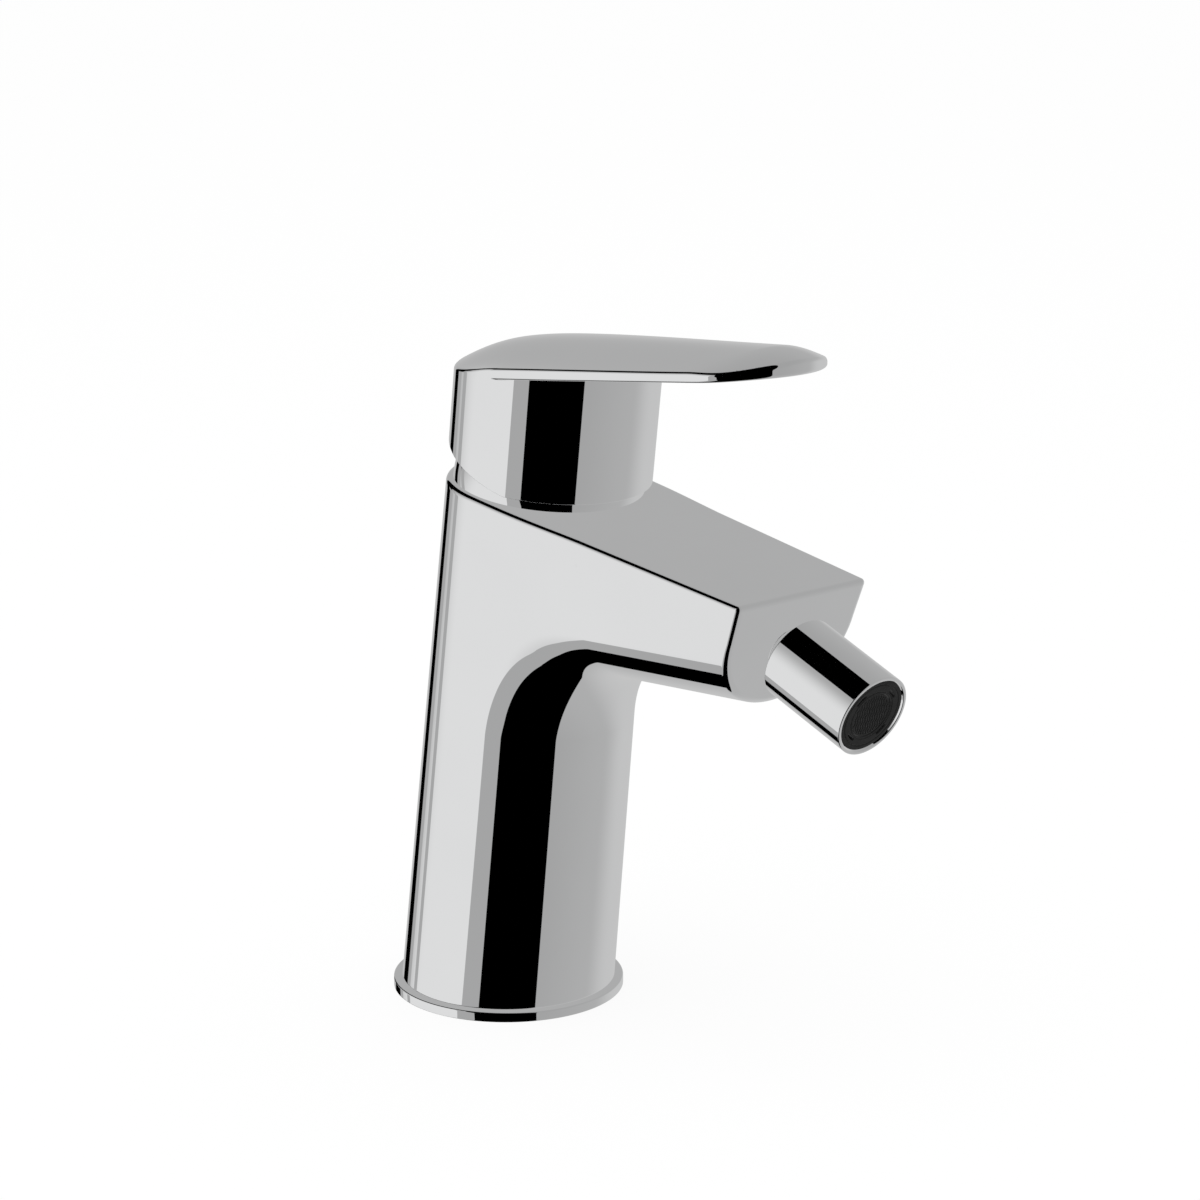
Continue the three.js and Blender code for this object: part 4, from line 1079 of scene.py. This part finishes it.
def above(x, y):
    """Direction towards a point of the plane one unit over the mixer."""
    return Vector((x, y, 1))


# Corners of the screen's grey frame, of its lit middle and of the wall, as directions
FRAME_CORNERS = [
    below(0.75, -2.65), below(0.66, -2.2), below(0.47, -1.69), below(0.16, -1.07),
    below(-0.137, -0.63), below(-0.334, -0.4), below(-0.56, -0.28), below(-0.85, -0.27),
    below(-2.68, -0.24), below(-8.1, -0.9), above(-7.65, -0.86), above(0.27, -0.99),
]
LIT_CORNERS = [
    below(-0.11, -2.67), below(-0.12, -2.3), below(-0.19, -1.63), below(-0.312, -1.16),
    below(-0.5, -0.7), below(-0.73, -0.57), below(-1.0, -0.64), below(-7.9, -1.96),
    above(-3.71, -0.93), above(-0.047, -0.99),
]
FRAME_WING = [
    below(-1.6, -0.6), below(-1.6, -0.24), below(-3.8, 0.24), below(-30, 1.9), below(-30, -3.3),
]
LIT_WING = [
    below(-2.2, -0.75), below(-2.4, -0.34), below(-3.8, -0.36), below(-30, -2.6), below(-30, -3.3),
]
WALL_CORNERS = [below(2.68, -0.61), compass(-12.8, 0), above(-3.7, 0.894)]
SILL_CORNERS = [below(3, 0.25), below(-1.8, 0.25), below(-1.8, 4)]
SCREEN_MIDDLE = compass(-125, -10)
WING_MIDDLE = below(-5, -0.6)
WALL_MIDDLE = compass(115, -35)
FRAME_PANES = ((FRAME_CORNERS, SCREEN_MIDDLE), (FRAME_WING, WING_MIDDLE))
LIT_PANES = ((LIT_CORNERS, SCREEN_MIDDLE), (LIT_WING, WING_MIDDLE))
WALL_PANES = ((WALL_CORNERS, WALL_MIDDLE), (SILL_CORNERS, below(0, 2)))
CORNER_ROUNDING = 0.03
SOFT_EDGE = 0.58
SHARP_EDGE = 0.002

# Greys, as levels from 0 to 255, and the spans of a direction over which they change
FRAME_GREY = 167
LIT_GREYS = (206, 223)
LIT_SPAN = (-0.82, -0.6)
WALL_GREYS = (163, 176)
WALL_SPAN = (-0.6, 0.9)
WALL_BRIGHT = compass(115, -15)
WALL_BRIGHT_GREY = 196
WALL_BRIGHT_SPAN = (0.52, 0.95)
WALL_BRIGHT_RISE = (0.35, -0.1)

# Stage, in metres and degrees
FLOOR_REACH = 3.0
FLOOR_GLOW = 0.9
FLOOR_ROUGHNESS = 0.9
WHITE = (1, 1, 1, 1)
LAMP_SIZE = 1.2
LAMP_PLACE = (0.3, -0.5, 1.5)
LAMP_AIM = (0, 0, 0.05)
CAMERA_PLACE = (0.5852, -0.4886, 0.2839)
CAMERA_AZIMUTH = 48.581
CAMERA_PITCH = 14.318
CAMERA_CLIP = (0.01, 20)


class MIXER_OT_stage(bpy.types.Operator):
    """Set up the pale floor, the studio light that the chrome mirrors, and the camera"""

    bl_idname = "mixer.stage"
    bl_label = "Stage"

    def execute(self, context):
        self.make_world(context.scene)
        self.make_floor(context.scene)
        self.make_lamp(context.scene)
        self.make_camera(context.scene)
        context.scene.view_settings.view_transform = "Standard"
        return {"FINISHED"}

    def make_world(self, scene):
        world = bpy.data.worlds.new("studio")
        scene.world = world
        studio = Studio(world)
        across_wall = studio.towards(WALL_MIDDLE)
        wall = studio.ramp(across_wall, *WALL_SPAN, *map(grey, WALL_GREYS))
        bright = studio.math(
            "MULTIPLY", studio.ramp(studio.towards(WALL_BRIGHT), *WALL_BRIGHT_SPAN),
            studio.ramp(studio.rise, *WALL_BRIGHT_RISE))
        wall = studio.mix(bright, wall, grey(WALL_BRIGHT_GREY))
        room = studio.mix(studio.inside(WALL_PANES), 0.0, wall)
        top_edge = studio.past(LIT_CORNERS[-2], LIT_CORNERS[-1], SCREEN_MIDDLE)
        lit = studio.mix(studio.ramp(studio.rise, *LIT_SPAN), *map(grey, LIT_GREYS))
        glow = studio.math(
            "MULTIPLY", studio.ramp(top_edge, 0.0, SOFT_EDGE), studio.inside(LIT_PANES))
        screen = studio.mix(glow, grey(FRAME_GREY), lit)
        seen = studio.mix(studio.inside(FRAME_PANES), room, screen)
        path = studio.node("ShaderNodeLightPath").outputs
        direct = studio.math("MAXIMUM", path["Is Camera Ray"], path["Is Transmission Ray"])
        level = studio.mix(path["Is Glossy Ray"], scene.mixer_stage.daylight, seen)
        level = studio.mix(direct, level, 1.0)
        light = studio.node("ShaderNodeBackground", {"Color": WHITE, "Strength": level})
        studio.node("ShaderNodeOutputWorld", {"Surface": light.outputs["Background"]})

    def make_floor(self, scene):
        colour = scene.mixer_stage.floor
        ends = ((-1, -1), (1, -1), (1, 1), (-1, 1))
        mesh = bpy.data.meshes.new("floor")
        mesh.from_pydata([(x * FLOOR_REACH, y * FLOOR_REACH, 0) for x, y in ends], [], [range(4)])
        finish = Finish("pale_floor")
        finish.colours(finish.noise(3, 2), shade(colour, 0.99), colour)
        finish.feed(finish.surface, {"Roughness": FLOOR_ROUGHNESS, "Specular IOR Level": 0.0})
        path = finish.node("ShaderNodeLightPath").outputs
        inputs = {0: path["Is Camera Ray"], 1: FLOOR_GLOW}
        share = finish.node("ShaderNodeMath", inputs, operation="MULTIPLY").outputs["Value"]
        glow = finish.node("ShaderNodeEmission", {"Color": WHITE}).outputs["Emission"]
        inputs = {"Fac": share, 1: finish.surface.outputs["BSDF"], 2: glow}
        mixed = finish.node("ShaderNodeMixShader", inputs).outputs["Shader"]
        finish.feed(finish.tree.nodes["Material Output"], {"Surface": mixed})
        mesh.materials.append(finish.material)
        floor = bpy.data.objects.new("floor", mesh)
        scene.collection.objects.link(floor)
        floor.visible_glossy = False

    def make_lamp(self, scene):
        lamp = bpy.data.lights.new("soft_lamp", "AREA")
        lamp.shape = "DISK"
        lamp.size = LAMP_SIZE
        lamp.energy = scene.mixer_stage.lamp
        rig = bpy.data.objects.new("soft_lamp", lamp)
        rig.location = LAMP_PLACE
        aim = Vector(LAMP_AIM) - rig.location
        rig.rotation_euler = aim.to_track_quat("-Z", "Y").to_euler()
        rig.visible_glossy = False
        scene.collection.objects.link(rig)

    def make_camera(self, scene):
        azimuth, pitch = math.radians(CAMERA_AZIMUTH), math.radians(CAMERA_PITCH)
        level = math.cos(pitch)
        back = Vector((math.sin(azimuth) * level, -math.cos(azimuth) * level, math.sin(pitch)))
        right = Vector((math.cos(azimuth), math.sin(azimuth), 0))
        up = back.cross(right)
        camera = bpy.data.cameras.new("camera")
        camera.lens = scene.mixer_stage.lens
        camera.clip_start, camera.clip_end = CAMERA_CLIP
        view = bpy.data.objects.new("camera", camera)
        turn = Matrix((right, up, back)).transposed().to_4x4()
        view.matrix_world = Matrix.Translation(CAMERA_PLACE) @ turn
        scene.collection.objects.link(view)
        scene.camera = view


class MIXER_PT_panel(bpy.types.Panel):
    """Lists the sizes, the finishes and the steps"""

    bl_idname = "MIXER_PT_panel"
    bl_label = "Bidet mixer"
    bl_space_type = "VIEW_3D"
    bl_region_type = "UI"
    bl_category = "Mixer"

    def draw(self, context):
        scene = context.scene
        for group in (scene.mixer_sizes, scene.mixer_finishes, scene.mixer_stage):
            box = self.layout.box()
            for name in group.__annotations__:
                box.prop(group, name)
        for step in STEPS:
            self.layout.operator(step.bl_idname)


GROUPS = (MixerSizes, MixerFinishes, MixerStage)
STEPS = (
    MIXER_OT_stage, MIXER_OT_base_ring, MIXER_OT_body, MIXER_OT_collar, MIXER_OT_lever,
    MIXER_OT_plug, MIXER_OT_nozzle, MIXER_OT_aerator, MIXER_OT_inner_parts,
)


def register():
    for made in (*GROUPS, *STEPS, MIXER_PT_panel):
        bpy.utils.register_class(made)
    bpy.types.Scene.mixer_sizes = PointerProperty(type=MixerSizes)
    bpy.types.Scene.mixer_finishes = PointerProperty(type=MixerFinishes)
    bpy.types.Scene.mixer_stage = PointerProperty(type=MixerStage)


def unregister():
    for name in ("mixer_sizes", "mixer_finishes", "mixer_stage"):
        delattr(bpy.types.Scene, name)
    for made in reversed((*GROUPS, *STEPS, MIXER_PT_panel)):
        bpy.utils.unregister_class(made)


def corners(bounds):
    return [[float(value) for value in corner] for corner in bounds]


def main():
    register()
    for step in STEPS:
        group, name = step.bl_idname.split(".")
        getattr(getattr(bpy.ops, group), name)()


if __name__ == "__main__":
    main()
